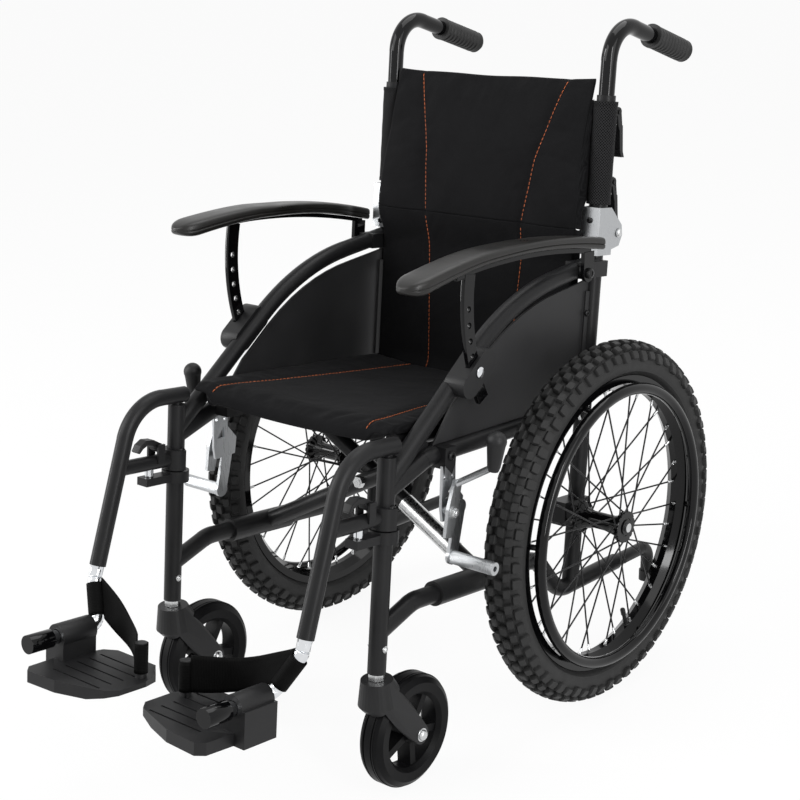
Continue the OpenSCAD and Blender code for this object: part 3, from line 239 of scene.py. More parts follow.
def coated(name, dark, light, patch_mm, rough, grain_mm, depth_mm,
           pebbled=False, specular=0.5, metallic=0.0):
    """A surface that drifts between two tones and two gloss levels, with a fine grain on it."""
    material, tree = start_material(name)
    where = add_node(tree, "ShaderNodeTexCoord").outputs["Object"]
    patch = add_node(tree, "ShaderNodeTexNoise", {
        "Vector": where, "Scale": 1000 / patch_mm, "Detail": 4.0, "Roughness": 0.6})
    tone = add_node(tree, "ShaderNodeValToRGB", {"Fac": patch.outputs["Fac"]})
    set_stops(tone, (0.3, dark), (0.7, light))
    gloss = add_node(tree, "ShaderNodeMapRange", {
        "Value": patch.outputs["Fac"], "From Min": 0.25, "From Max": 0.75,
        "To Min": rough[0], "To Max": rough[1]})
    if pebbled:
        grain = add_node(tree, "ShaderNodeTexVoronoi", {
            "Vector": where, "Scale": 1000 / grain_mm, "Smoothness": 0.4}, feature="SMOOTH_F1")
        height = grain.outputs["Distance"]
    else:
        grain = add_node(tree, "ShaderNodeTexNoise", {
            "Vector": where, "Scale": 1000 / grain_mm, "Detail": 2.0})
        height = grain.outputs["Fac"]
    bump = add_node(tree, "ShaderNodeBump", {
        "Height": height, "Strength": 0.6, "Distance": depth_mm / 1000})
    shader = add_node(tree, "ShaderNodeBsdfPrincipled", {
        "Base Color": tone.outputs["Color"], "Roughness": gloss.outputs["Result"],
        "Normal": bump.outputs["Normal"], "Specular IOR Level": specular, "Metallic": metallic})
    add_node(tree, "ShaderNodeOutputMaterial", {"Surface": shader.outputs["BSDF"]})
    return material


def powder_coated_steel():
    # Baked powder coat: satin, with a fine orange peel that softens its highlights
    return coated("powder_coated_steel", chair_tone("frame_black"), chair_tone("frame_black", 0.003),
                  patch_mm=70, rough=(0.34, 0.44), grain_mm=1.6, depth_mm=0.06, specular=0.2)


def gloss_enamelled_alloy():
    # Stove enamel on alloy tube: deep black that mirrors the studio, barely rippled
    return coated("gloss_enamelled_alloy", colour("#050506"), colour("#080809"),
                  patch_mm=90, rough=(0.05, 0.1), grain_mm=5, depth_mm=0.012, specular=0.24)


def grained_abs():
    # Moulded ABS with a pebble grain: dull and even, the grain drawn at 1.5 mm so that it shows
    return coated("grained_abs", colour("#1b1b1c"), colour("#202021"),
                  patch_mm=60, rough=(0.5, 0.6), grain_mm=1.5, depth_mm=0.12, pebbled=True, specular=0.36)


def moulded_nylon():
    # Glass-filled nylon from a spark-eroded mould: matt, slightly mottled
    return coated("moulded_nylon", colour("#131314"), colour("#19191a"),
                  patch_mm=45, rough=(0.4, 0.52), grain_mm=0.9, depth_mm=0.05, specular=0.26)


def self_skinned_foam():
    # Polyurethane foam with its own moulded skin: a close leather grain, polished by hands
    return coated("self_skinned_foam", colour("#131312"), colour("#1c1b1a"),
                  patch_mm=55, rough=(0.26, 0.42), grain_mm=1.3, depth_mm=0.05, pebbled=True, specular=0.31)


def grip_rubber():
    # Moulded rubber grip: soft and dull
    return coated("grip_rubber", colour("#131313"), colour("#191919"),
                  patch_mm=20, rough=(0.46, 0.6), grain_mm=0.8, depth_mm=0.05, specular=0.34)


def vulcanised_rubber():
    # Vulcanised rubber: matt, with paler scuffs where it has rolled
    return coated("vulcanised_rubber", chair_tone("tyre_black"), chair_tone("tyre_black", 0.005),
                  patch_mm=14, rough=(0.46, 0.68), grain_mm=1.1, depth_mm=0.06, specular=0.24)


def cast_polyurethane():
    # Polyurethane cast on the caster's rim: smooth and a little shiny
    return coated("cast_polyurethane", colour("#0a0a0b"), colour("#101011"),
                  patch_mm=30, rough=(0.34, 0.46), grain_mm=2, depth_mm=0.02, specular=0.08)


def chrome_plate():
    # Chromium plate on steel tube: a mirror with faint finger marks
    return coated("chrome_plate", colour("#d4d6d9"), colour("#e2e4e6"),
                  patch_mm=35, rough=(0.05, 0.14), grain_mm=12, depth_mm=0.004, metallic=1.0)


def zinc_plate():
    # Zinc-plated fasteners: bright, cool and a little cloudy
    return coated("zinc_plate", colour("#b9babb"), colour("#d2d3d3"),
                  patch_mm=6, rough=(0.2, 0.34), grain_mm=2, depth_mm=0.01, metallic=1.0)


def blackened_steel():
    # Black oxide on steel: screws and spokes, dark with a metal edge to the shine
    return coated("blackened_steel", colour("#161617"), colour("#242425"),
                  patch_mm=8, rough=(0.26, 0.4), grain_mm=1.5, depth_mm=0.01, metallic=0.6)


def sewing_thread():
    # Bonded polyester thread: two plies twisted, which breaks its colour up
    orange = chair_tone("thread_orange")
    return coated("sewing_thread", scaled(orange, 0.75), orange,
                  patch_mm=3, rough=(0.45, 0.6), grain_mm=0.8, depth_mm=0.08)


def brushed_alloy():
    # Pressed aluminium, brushed along its length: fine streaks that spread the shine
    material, tree = start_material("brushed_alloy")
    where = add_node(tree, "ShaderNodeTexCoord").outputs["Object"]
    along = add_node(tree, "ShaderNodeMapping", {"Vector": where, "Scale": (1.0, 1.0, 0.04)})
    # Brush lines of about 0.5 mm, drawn at 1.2 mm so that they show
    streak = add_node(tree, "ShaderNodeTexNoise", {
        "Vector": along.outputs["Vector"], "Scale": 1000 / 1.2, "Detail": 3.0})
    silver = chair_tone("alloy_silver")
    tone = add_node(tree, "ShaderNodeValToRGB", {"Fac": streak.outputs["Fac"]})
    set_stops(tone, (0.25, scaled(silver, 0.93)), (0.75, silver))
    gloss = add_node(tree, "ShaderNodeMapRange", {
        "Value": streak.outputs["Fac"], "From Min": 0.3, "From Max": 0.7, "To Min": 0.26, "To Max": 0.34})
    bump = add_node(tree, "ShaderNodeBump", {
        "Height": streak.outputs["Fac"], "Strength": 0.25, "Distance": 0.00001})
    shader = add_node(tree, "ShaderNodeBsdfPrincipled", {
        "Base Color": tone.outputs["Color"], "Metallic": 1.0, "Roughness": gloss.outputs["Result"],
        "Normal": bump.outputs["Normal"]})
    add_node(tree, "ShaderNodeOutputMaterial", {"Surface": shader.outputs["BSDF"]})
    return material


def woven_polyester():
    # Close plain weave with a water-proof back: near black, a faint sheen, soft creases
    material, tree = start_material("woven_polyester")
    where = add_node(tree, "ShaderNodeTexCoord").outputs["Object"]
    axes = add_node(tree, "ShaderNodeSeparateXYZ", {"Vector": where})
    up = add_node(tree, "ShaderNodeMath", {0: axes.outputs["Y"], 1: axes.outputs["Z"]}, operation="ADD")
    flat = add_node(tree, "ShaderNodeCombineXYZ", {"X": axes.outputs["X"], "Y": up.outputs["Value"]})
    # Yarns lie about 0.5 mm apart, drawn at 1.4 mm so that they show
    yarn = {"Vector": flat.outputs["Vector"], "Scale": WAVE_BAND / 0.0014}
    warp = add_node(tree, "ShaderNodeTexWave", yarn, bands_direction="X")
    weft = add_node(tree, "ShaderNodeTexWave", yarn, bands_direction="Y")
    weave = add_node(tree, "ShaderNodeMath", {
        0: warp.outputs["Fac"], 1: weft.outputs["Fac"]}, operation="MULTIPLY")
    # Slubs of 40 mm and creases of 75 mm
    slub = add_node(tree, "ShaderNodeTexNoise", {
        "Vector": where, "Scale": 1000 / 40, "Detail": 5.0, "Roughness": 0.65})
    crease = add_node(tree, "ShaderNodeTexNoise", {
        "Vector": where, "Scale": 1000 / 75, "Detail": 3.0, "Distortion": 0.8})
    shade = add_node(tree, "ShaderNodeMath", {
        0: weave.outputs["Value"], 1: slub.outputs["Fac"]}, operation="MULTIPLY")
    black = chair_tone("cover_black")
    tone = add_node(tree, "ShaderNodeValToRGB", {"Fac": shade.outputs["Value"]})
    set_stops(tone, (0.02, scaled(black, 0.7)), (0.45, scaled(black, 1.7)))
    thread = add_node(tree, "ShaderNodeBump", {
        "Height": weave.outputs["Value"], "Strength": 0.5, "Distance": 0.00012})
    fold = add_node(tree, "ShaderNodeBump", {
        "Height": crease.outputs["Fac"], "Strength": 0.5, "Distance": 0.006,
        "Normal": thread.outputs["Normal"]})
    shader = add_node(tree, "ShaderNodeBsdfPrincipled", {
        "Base Color": tone.outputs["Color"], "Roughness": 0.72, "Normal": fold.outputs["Normal"],
        "Specular IOR Level": 0.03, "Sheen Weight": 0.02, "Sheen Roughness": 0.4})
    add_node(tree, "ShaderNodeOutputMaterial", {"Surface": shader.outputs["BSDF"]})
    return material


def spacer_mesh():
    # Knitted spacer mesh: grey yarns cross in diamonds over dark holes
    material, tree = start_material("spacer_mesh")
    flat = add_node(tree, "ShaderNodeUVMap").outputs["UV"]
    axes = add_node(tree, "ShaderNodeSeparateXYZ", {"Vector": flat})
    both = {0: axes.outputs["X"], 1: axes.outputs["Y"]}
    rise = add_node(tree, "ShaderNodeMath", both, operation="ADD")
    fall = add_node(tree, "ShaderNodeMath", both, operation="SUBTRACT")
    cross = add_node(tree, "ShaderNodeCombineXYZ", {"X": rise.outputs["Value"], "Y": fall.outputs["Value"]})
    # Holes lie about 2.5 mm apart; the map is in metres, and the diagonal is drawn at 4 mm so that it shows
    yarn = {"Vector": cross.outputs["Vector"], "Scale": WAVE_BAND / 0.004}
    one = add_node(tree, "ShaderNodeTexWave", yarn, bands_direction="X")
    two = add_node(tree, "ShaderNodeTexWave", yarn, bands_direction="Y")
    net = add_node(tree, "ShaderNodeMath", {
        0: one.outputs["Fac"], 1: two.outputs["Fac"]}, operation="MAXIMUM")
    tone = add_node(tree, "ShaderNodeValToRGB", {"Fac": net.outputs["Value"]})
    set_stops(tone, (0.6, colour("#020202")), (0.97, colour("#2d2d2e")))
    bump = add_node(tree, "ShaderNodeBump", {
        "Height": net.outputs["Value"], "Strength": 0.8, "Distance": 0.0006})
    shader = add_node(tree, "ShaderNodeBsdfPrincipled", {
        "Base Color": tone.outputs["Color"], "Roughness": 0.6, "Normal": bump.outputs["Normal"],
        "Specular IOR Level": 0.05})
    add_node(tree, "ShaderNodeOutputMaterial", {"Surface": shader.outputs["BSDF"]})
    return material


def nylon_webbing():
    # Woven nylon webbing: fine ribs across the band and a dull shine
    material, tree = start_material("nylon_webbing")
    flat = add_node(tree, "ShaderNodeUVMap").outputs["UV"]
    # Ribs of about 1 mm, drawn at 2 mm so that they show. The map is in metres.
    rib = add_node(tree, "ShaderNodeTexWave", {
        "Vector": flat, "Scale": WAVE_BAND / 0.002, "Distortion": 0.4}, bands_direction="X")
    wear = add_node(tree, "ShaderNodeTexNoise", {"Vector": flat, "Scale": 1000 / 18, "Detail": 4.0})
    blend = add_node(tree, "ShaderNodeMath", {
        0: rib.outputs["Fac"], 1: wear.outputs["Fac"]}, operation="MULTIPLY")
    tone = add_node(tree, "ShaderNodeValToRGB", {"Fac": blend.outputs["Value"]})
    set_stops(tone, (0.0, colour("#060606")), (0.7, colour("#121212")))
    bump = add_node(tree, "ShaderNodeBump", {
        "Height": rib.outputs["Fac"], "Strength": 0.7, "Distance": 0.0003})
    shader = add_node(tree, "ShaderNodeBsdfPrincipled", {
        "Base Color": tone.outputs["Color"], "Roughness": 0.62, "Normal": bump.outputs["Normal"],
        "Specular IOR Level": 0.04})
    add_node(tree, "ShaderNodeOutputMaterial", {"Surface": shader.outputs["BSDF"]})
    return material


def white_rays(tree):
    """1 for the rays that have to meet white: the camera's own, reflected ones and those through glass."""
    path = add_node(tree, "ShaderNodeLightPath")
    seen = add_node(tree, "ShaderNodeMath", {
        0: path.outputs["Is Camera Ray"], 1: path.outputs["Is Glossy Ray"]}, operation="MAXIMUM")
    through = add_node(tree, "ShaderNodeMath", {
        0: seen.outputs["Value"], 1: path.outputs["Is Transmission Ray"]}, operation="MAXIMUM")
    return through.outputs["Value"]


def studio_floor():
    # Paper sweep: white to the camera and to mirrors, and still darkened by the chair's shadow
    material, tree = start_material("studio_floor")
    white = tuple(bpy.context.scene.chair_studio.floor_white) + (1.0,)
    share = add_node(tree, "ShaderNodeMath", {0: white_rays(tree), 1: 0.93}, operation="MULTIPLY")
    paper = add_node(tree, "ShaderNodeBsdfDiffuse", {"Color": white})
    glow = add_node(tree, "ShaderNodeEmission", {"Color": (1, 1, 1, 1), "Strength": 1.0})
    mix = add_node(tree, "ShaderNodeMixShader", {
        "Fac": share.outputs["Value"], 1: paper.outputs["BSDF"], 2: glow.outputs["Emission"]})
    add_node(tree, "ShaderNodeOutputMaterial", {"Surface": mix.outputs["Shader"]})
    return material


FINISHES = {f.__name__: f for f in (
    powder_coated_steel, gloss_enamelled_alloy, grained_abs, moulded_nylon, self_skinned_foam, grip_rubber,
    vulcanised_rubber, cast_polyurethane, chrome_plate, zinc_plate, blackened_steel, brushed_alloy,
    woven_polyester, spacer_mesh, nylon_webbing, sewing_thread, studio_floor)}


def finish(name):
    """The material of that name, made the first time it is asked for."""
    return bpy.data.materials.get(name) or FINISHES[name]()


# Mesh tools


class Shape:
    """Points and faces of a piece while it is being drawn."""

    def __init__(self):
        self.points = []
        self.faces = []

    def skin(self, rings, loop=False, caps=True):
        """A skin through closed rings of points; loop joins the last to the first, caps shut the ends."""
        start = len(self.points)
        count = len(rings[0])
        for ring in rings:
            self.points.extend(tuple(p) for p in ring)
        for k in range(len(rings) - (0 if loop else 1)):
            a = start + k * count
            b = start + (k + 1) % len(rings) * count
            for j in range(count):
                i = (j + 1) % count
                self.faces.append((a + j, a + i, b + i, b + j))
        if caps and not loop:
            self.faces.append(tuple(range(start + count - 1, start - 1, -1)))
            last = start + (len(rings) - 1) * count
            self.faces.append(tuple(range(last, last + count)))

    def piece(self, name, material, sharp=None):
        """The piece as an object: points in metres, smooth except over edges sharper than the angle given."""
        mesh = bpy.data.meshes.new(name)
        mesh.from_pydata(self.points, [], self.faces)
        mesh.shade_smooth()
        if sharp:
            mesh.set_sharp_from_angle(angle=math.radians(sharp))
        mesh.materials.append(finish(material))
        obj = bpy.data.objects.new(name, mesh)
        bpy.context.scene.collection.objects.link(obj)
        return obj


def facing_out(obj):
    """Turns all faces of a closed piece outward."""
    work = bmesh.new()
    work.from_mesh(obj.data)
    bmesh.ops.recalc_face_normals(work, faces=work.faces)
    work.to_mesh(obj.data)
    work.free()
    return obj


def attach(piece, body):
    """Turns a closed piece's faces outward and lets it ride on a body."""
    facing_out(piece)
    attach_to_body(piece, body)


def add_modifier(obj, kind, **settings):
    """Adds a modifier with its settings."""
    made = obj.modifiers.new(kind.lower(), kind)
    for key, value in settings.items():
        setattr(made, key, value)


def basis(axis):
    """Two directions square to an axis."""
    axis = np.asarray(axis, float) / np.linalg.norm(axis)
    other = np.array([0.0, 0.0, 1.0]) if abs(axis[2]) < 0.9 else np.array([0.0, 1.0, 0.0])
    u = np.cross(other, axis)
    u /= np.linalg.norm(u)
    return axis, u, np.cross(axis, u)


def turned(shape, foot, axis, profile, sides=24, hexes=()):
    """A turned form of (radius, height) steps from foot along axis; the steps in hexes are six-sided."""
    axis, u, w = basis(axis)
    angles = np.arange(sides) * 2 * math.pi / sides
    rings = []
    for k, (radius, height) in enumerate(profile):
        reach = np.full(sides, float(radius))
        if k in hexes:
            flat = (angles + math.pi / 6) % (math.pi / 3) - math.pi / 6
            reach = radius * math.cos(math.pi / 6) / np.cos(flat)
        rings.append(np.asarray(foot, float) + height * axis
                     + reach[:, None] * (np.cos(angles)[:, None] * u + np.sin(angles)[:, None] * w))
    shape.skin([place(ring) for ring in rings])


def socket_screw(shape, foot, axis, radius, height):
    """A round screw head with a six-sided socket."""
    turned(shape, foot, axis, [
        (radius, -0.6), (radius, 0.4 * height), (0.95 * radius, 0.7 * height), (0.78 * radius, 0.93 * height),
        (0.6 * radius, height), (0.5 * radius, height), (0.46 * radius, 0.9 * height),
        (0.44 * radius, 0.35 * height)], hexes=(5, 6, 7))


def domed_screw(shape, foot, axis, radius, height):
    """A plain domed head with a flat washer under it."""
    turned(shape, foot, axis, [
        (1.25 * radius, -0.4), (1.25 * radius, 1.0), (1.0 * radius, 1.05), (0.98 * radius, 0.45 * height),
        (0.86 * radius, 0.72 * height), (0.6 * radius, 0.92 * height), (0.25 * radius, height)])


def hex_nut(shape, foot, axis, radius, height):
    """A six-sided nut with the end of its bolt."""
    turned(shape, foot, axis, [
        (1.3 * radius, -0.4), (1.3 * radius, 0.9), (radius, 0.95), (radius, 0.85 * height),
        (0.9 * radius, height), (0.55 * radius, height), (0.52 * radius, 1.3 * height),
        (0.42 * radius, 1.4 * height)], hexes=(2, 3, 4))


# Rear tyres

# Half of the carcass section from the crown to the bead: across and radius. The crown is part of an ellipse.
CROWN_R = 250.0
WIDE_R = 229.5
HALF_W = 24.0
SIDEWALL = (
    (23.9, 226.5), (23.6, 222.6), (22.9, 219.0), (22.2, 217.6), (22.1, 216.6), (21.3, 215.8), (20.2, 214.6),
    (18.6, 213.0), (17.4, 212.6), (16.6, 211.8), (14.6, 211.0), (13.0, 209.4), (12.4, 207.0), (12.0, 203.6))
TYRE_STEPS = 160


def crown_table():
    """Distance from the crown along the section, with across, radius and the outward direction there."""
    turn = np.linspace(0, math.pi / 2, 400)
    across = HALF_W * np.sin(turn)
    radius = WIDE_R + (CROWN_R - WIDE_R) * np.cos(turn)
    walk = np.concatenate([[0], np.cumsum(np.hypot(np.diff(across), np.diff(radius)))])
    out = np.stack([np.sin(turn) / HALF_W, np.cos(turn) / (CROWN_R - WIDE_R)], axis=1)
    out /= np.linalg.norm(out, axis=1)[:, None]
    return walk, across, radius, out


# Outlines of the lugs of one pitch: along the tread, then distance from the crown, both in mm
CENTRE_LUG = (
    (-6.4, 0.8), (-0.2, 0.6), (6.0, 0.8), (7.2, 4.6),
    (7.7, 8.6), (1.3, 9.0), (-5.0, 8.6), (-5.6, 4.6))
SIDE_LUG = (
    (-6.0, 10.9), (0.4, 10.5), (6.6, 10.9), (6.0, 14.6),
    (5.2, 18.2), (-0.8, 18.6), (-7.0, 18.0), (-6.6, 14.4))
SHORT_LUG = (
    (-7.2, 20.7), (-0.4, 20.3), (6.6, 20.7), (7.5, 25.4),
    (7.0, 30.2), (0.2, 30.8), (-6.6, 30.2), (-7.8, 25.4))
LONG_LUG = (
    (-7.0, 20.7), (-0.2, 20.3), (6.8, 20.7), (7.4, 26.6),
    (6.2, 33.4), (0.0, 34.0), (-6.2, 33.4), (-7.6, 26.6))


def wheel_points(s, angle, radius, across):
    """Metres of points on a rear wheel: angle round the axle, radius and distance out from its mid-plane."""
    angle, radius, across = np.broadcast_arrays(angle, radius, across)
    return np.stack([s * (WHEEL_X + across / 1000), AXLE_Y + radius * np.cos(angle) / 1000,
                     AXLE_Z + radius * np.sin(angle) / 1000], axis=-1)


def add_lug(shape, s, table, outline, middle, hand, height):
    """One lug: a draft-sided block with a chamfered top that follows the crown."""
    walk, across, radius, out = table
    outline = np.array(outline)
    centre = outline.mean(axis=0)
    rings = []
    # Share of the outline and height over the carcass: the foot, the chamfer and the top
    for grow, lift in ((1.1, -0.8), (0.97, height - 1.1), (0.84, height)):
        along, away = ((outline - centre) * grow + centre).T
        away = np.maximum(away, 0.15)
        x = np.interp(away, walk, across)
        r = np.interp(away, walk, radius)
        n = np.stack([np.interp(away, walk, out[:, k]) for k in (0, 1)], axis=1)
        rings.append(wheel_points(s, middle + along / CROWN_R, r + n[:, 1] * lift,
                                  hand * (x + n[:, 0] * lift)))
    shape.skin(rings)


class WHEELCHAIR_OT_tyres(bpy.types.Operator):
    """Build the two knobbly rear tyres"""

    bl_idname = "wheelchair.tyres"
    bl_label = "Rear tyres"

    def execute(self, context):
        sizes = context.scene.chair_tyres
        table = crown_table()
        half = [(HALF_W * math.sin(a), WIDE_R + (CROWN_R - WIDE_R) * math.cos(a))
                for a in np.linspace(0, math.pi / 2, 9)] + list(SIDEWALL)
        section = np.array([(-x, r) for x, r in reversed(half[1:])] + half)
        turns = 2 * math.pi * np.arange(TYRE_STEPS) / TYRE_STEPS
        pitch = 2 * math.pi / sizes.lug_count
        # Each row: the lug, its shift as a share of a pitch, its hand and its height
        rows = [
            (CENTRE_LUG, 0.0, 1, sizes.centre_height), (CENTRE_LUG, 0.5, -1, sizes.centre_height),
            (SIDE_LUG, 0.55, 1, sizes.side_height), (SIDE_LUG, 0.05, -1, sizes.side_height),
        ]
        # Long and short shoulder lugs take turns, the other way round on the other hand
        shoulders = {
            0: [(SHORT_LUG, 0.05, 1, sizes.shoulder_height), (LONG_LUG, 0.55, -1, sizes.shoulder_height)],
            1: [(LONG_LUG, 0.05, 1, sizes.shoulder_height), (SHORT_LUG, 0.55, -1, sizes.shoulder_height)],
        }
        for side, s in SIDES:
            shape = Shape()
            shape.skin([wheel_points(s, a, section[:, 1], section[:, 0]) for a in turns],
                       loop=True, caps=False)
            for k in range(sizes.lug_count):
                for outline, shift, hand, height in rows + shoulders[(k + 1) % 2]:
                    add_lug(shape, s, table, outline, (k + shift) * pitch, hand, height * 1000)
            tyre = facing_out(shape.piece(f"{side}_knobbly_tyre", "vulcanised_rubber", sharp=32))
            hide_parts(f"{side}_tyre")
            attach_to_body(tyre, f"{side}_wheel")
        return {"FINISHED"}


# Small fittings of the rear wheels

SPOKES = 36
RIM_INNER = 189.7
FLANGE_R = 18
FLANGE_X = 33

# Turned profiles as (radius, height)
NIPPLE = ((2.4, -0.6), (2.4, 2.0), (2.0, 2.6), (1.9, 9.0), (1.4, 9.6))
VALVE = ((5.0, 0), (5.0, 1.2), (3.4, 2.2), (3.0, 8), (2.6, 18), (2.6, 19), (3.7, 19.2), (3.7, 28),
         (3.2, 29.4), (1.6, 30))
VALVE_TURN = math.radians(-72)
VALVE_FOOT_R = 191

# Hub rings: bore, reach, depth of the bites round the rim, chamfer, and faces across the wheel
RING_BORE = 13.0
RING_R = 22.6
RING_BITE = 1.5
RING_CHAMFER = 0.4
RING_FACES = ((35.0, 37.4), (-37.4, -35.0))
RING_STEPS = 216


def spoke_ends(k):
    """Foot and head of a spoke as (angle, radius, across), as the CAD wheel laces them."""
    side = 1 if k % 2 == 0 else -1
    way = 1 if k // 2 % 2 == 0 else -1
    head = 2 * math.pi * k / SPOKES
    foot = head + way * math.pi / 3
    return (foot, FLANGE_R, side * (FLANGE_X + way)), (head, RIM_INNER, side * 3)


def cad_angle(angle):
    """Angle round the axle of a CAD wheel angle, which starts at the floor and runs to the back."""
    return angle - math.pi / 2


class WHEELCHAIR_OT_wheel_fittings(bpy.types.Operator):
    """Add spoke nipples, hub rings and tyre valves to the rear wheels"""

    bl_idname = "wheelchair.wheel_fittings"
    bl_label = "Wheel fittings"

    def execute(self, context):
        angles = 2 * math.pi * np.arange(RING_STEPS) / RING_STEPS
        rim = RING_R - RING_BITE * np.clip(np.cos(SPOKES / 2 * angles), 0, 1) ** 1.5
        for side, s in SIDES:
            nipples = Shape()
            for k in range(SPOKES):
                foot, head = (unplace(wheel_points(s, cad_angle(a), r, x)) for a, r, x in spoke_ends(k))
                turned(nipples, head, foot - head, NIPPLE, sides=8)
            made = nipples.piece(f"{side}_spoke_nipples", "zinc_plate", sharp=40)
            attach(made, f"{side}_wheel")

            rings = Shape()
            for x0, x1 in RING_FACES:
                profile = (
                    (RING_BORE, x0), (rim - RING_CHAMFER, x0), (rim, x0 + RING_CHAMFER),
                    (rim, x1 - RING_CHAMFER), (rim - RING_CHAMFER, x1), (RING_BORE, x1))
                rings.skin([wheel_points(s, angles, r, x) for r, x in profile], loop=True)
            made = rings.piece(f"{side}_hub_rings", "gloss_enamelled_alloy", sharp=35)
            attach(made, f"{side}_wheel")

            valve = Shape()
            foot = unplace(wheel_points(s, VALVE_TURN, VALVE_FOOT_R, 0))
            hub = unplace(wheel_points(s, VALVE_TURN, 0, 0))
            turned(valve, foot, hub - foot, VALVE, sides=18)
            made = valve.piece(f"{side}_tyre_valve", "grip_rubber", sharp=40)
            attach(made, f"{side}_wheel")
        return {"FINISHED"}


# Armrest pads

PAD_BACK = 24
PAD_TIP = -384
PAD_NOSE = 30
PAD_OUTER = 223
PAD_NARROW = 16.5
PAD_WIDENS = 29.5
ARM_PIVOT = (-15, 345)
ARM_DROP = {"left": 4.5, "right": 0.0}

# Heights down one side as shares of the half thickness, with the depth of the groove in mm
PAD_SIDE = (
    (1.0, 0), (0.985, 0), (0.95, 0), (0.88, 0), (0.75, 0), (0.55, 0), (0.3, 0), (0.1, 0), (-0.02, 0),
    (-0.07, 0.9), (-0.12, 1.4), (-0.17, 0.9), (-0.22, 0), (-0.34, 0), (-0.55, 0), (-0.75, 0), (-0.9, 0),
    (-0.97, 0), (-1.0, 0))


def past(u, start, length):
    """How far a place ahead of the pivot lies past a start, as a share of a length and at least 0."""
    return max(0, (-u - start) / length)


def pad_ring(u, shrink):
    """Section of the pad at u ahead of the pivot: a rounded bar with a groove along both sides."""
    # The underside arches over the pad's length, and thickness and width grow towards the tip
    rise = min(1, past(u, -PAD_BACK, PAD_BACK - PAD_TIP)) ** 0.9
    under = 30 + 17 * math.sin(math.pi * rise) - 10 * past(u, 240, 144) ** 1.4
    thick = 17 + 6 * past(u, 200, 184)
    wide = PAD_NARROW + PAD_WIDENS * min(1, past(u, 20, 190)) ** 0.7
    tip = math.sqrt(max(0.03, 1 - past(u, -PAD_TIP - PAD_NOSE, PAD_NOSE) ** 2)) * shrink
    mid = PAD_OUTER - wide / 2
    half = wide / 2 * tip
    high = thick * tip
    base = under + (thick - high) * (0.6 if shrink == 1 else 0.5)
    ring = []
    for hand, steps in ((1, PAD_SIDE), (-1, PAD_SIDE[::-1])):
        for z, cut in steps:
            reach = half * max(0.0, 1 - z ** 4) ** 0.25 - cut * tip
            ring.append((mid + hand * reach, u, base + high / 2 * (1 + z)))
    return np.array(ring)


class WHEELCHAIR_OT_arm_pads(bpy.types.Operator):
    """Build the two moulded armrest pads"""

    bl_idname = "wheelchair.arm_pads"
    bl_label = "Armrest pads"

    def execute(self, context):
        # Places along the pad with the share of the section's size there
        stations = [(PAD_BACK - in_from, share)
                    for in_from, share in ((0.1, 0.72), (0.5, 0.88), (1.6, 0.97), (3.4, 1.0))]
        stations += [(u, 1.0) for u in np.linspace(PAD_BACK - 9, PAD_TIP + 36, 60)]
        stations += [(PAD_TIP + PAD_NOSE * (1 - math.sin(a)), 1.0) for a in np.linspace(0.05, 1.45, 16)]
        for side, s in SIDES:
            drop = math.radians(ARM_DROP[side])
            rings = []
            for u, shrink in stations:
                ring = pad_ring(u, shrink)
                y = ring[:, 1] * math.cos(drop) - ring[:, 2] * math.sin(drop) + ARM_PIVOT[0]
                h = ring[:, 1] * math.sin(drop) + ring[:, 2] * math.cos(drop) + ARM_PIVOT[1]
                rings.append(place(np.stack([s * ring[:, 0], y, h], axis=1)))
            shape = Shape()
            shape.skin(rings)
            pad = facing_out(shape.piece(f"{side}_armrest_pad", "self_skinned_foam", sharp=50))
            add_modifier(pad, "SUBSURF", levels=1, render_levels=1)
            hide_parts(f"{side}_arm_pad")
            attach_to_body(pad, f"{side}_armrest")
        return {"FINISHED"}


# Covers

SEAT_HALF = 176
SEAT_FRONT = -382
SEAT_BACK = -8
SEAT_HEM = 174
SEAT_THICK = 24
SEAT_EDGE_THICK = 12.4
SEAT_SAG = 4
RAIL_EDGE = 140
SEAT_ROLL = 18
SEAT_ROLL_DROP = 9
BACK_HALF = 173
BACK_LOW = 154
BACK_TOP = 606
BACK_THICK = 15
BACK_BOW = 7

# The cover's flare at the hinge and how far up it goes; it ends FLARE_SHARPER times as soon below
BACK_FLARE = 6
FLARE_REACH = 110
FLARE_SHARPER = 3.6

# How far the cover stands forward at the hinge, leans back to its top and steps back below the hinge
HINGE_FORWARD = 18
TOP_LEAN = 32
STEP_BACK = 10
STEP_REACH = 56
FOOT_FORWARD = 11

# Half the distance between the sewn lines, against y on the seat and h on the back
SEAT_LINE = ((-382, -330, -274, -186, -91, -8), (138, 133, 122, 110, 99, 92))
BACK_LINE = ((172, 272, 335, 403, 490, 560, 606), (74, 79, 83, 87, 97, 116, 130))

# How deep the sewn lines lie, in metres: beside the line, on it and beside it
SEAT_PULL = (0.0003, 0.0009, 0.0003)
BACK_PULL = (0.0006, 0.0016, 0.0006)


def seat_edge(x):
    """0 between the seat rails, 1 over them."""
    return np.clip((np.abs(x) - RAIL_EDGE) / 10, 0, 1)


def seat_flat(x):
    """Height of the seat's top without the roll at the front."""
    dip = 1 + SEAT_SAG * np.cos(math.pi / 2 * np.minimum(1, np.abs(x) / 142))
    return SEAT_HEM - dip * (1 - seat_edge(x))


def seat_top(x, y):
    """Height of the seat's top, which rolls down at the front."""
    return seat_flat(x) - SEAT_ROLL_DROP * np.maximum(0, (SEAT_FRONT + SEAT_ROLL - y) / SEAT_ROLL) ** 2


def seat_bottom(x, y):
    """Height of the seat's underside, which is thinner over the rails."""
    thick = SEAT_THICK * (1 - seat_edge(x)) + SEAT_EDGE_THICK * seat_edge(x)
    return np.minimum(seat_flat(x) - thick, seat_top(x, y) - 3)


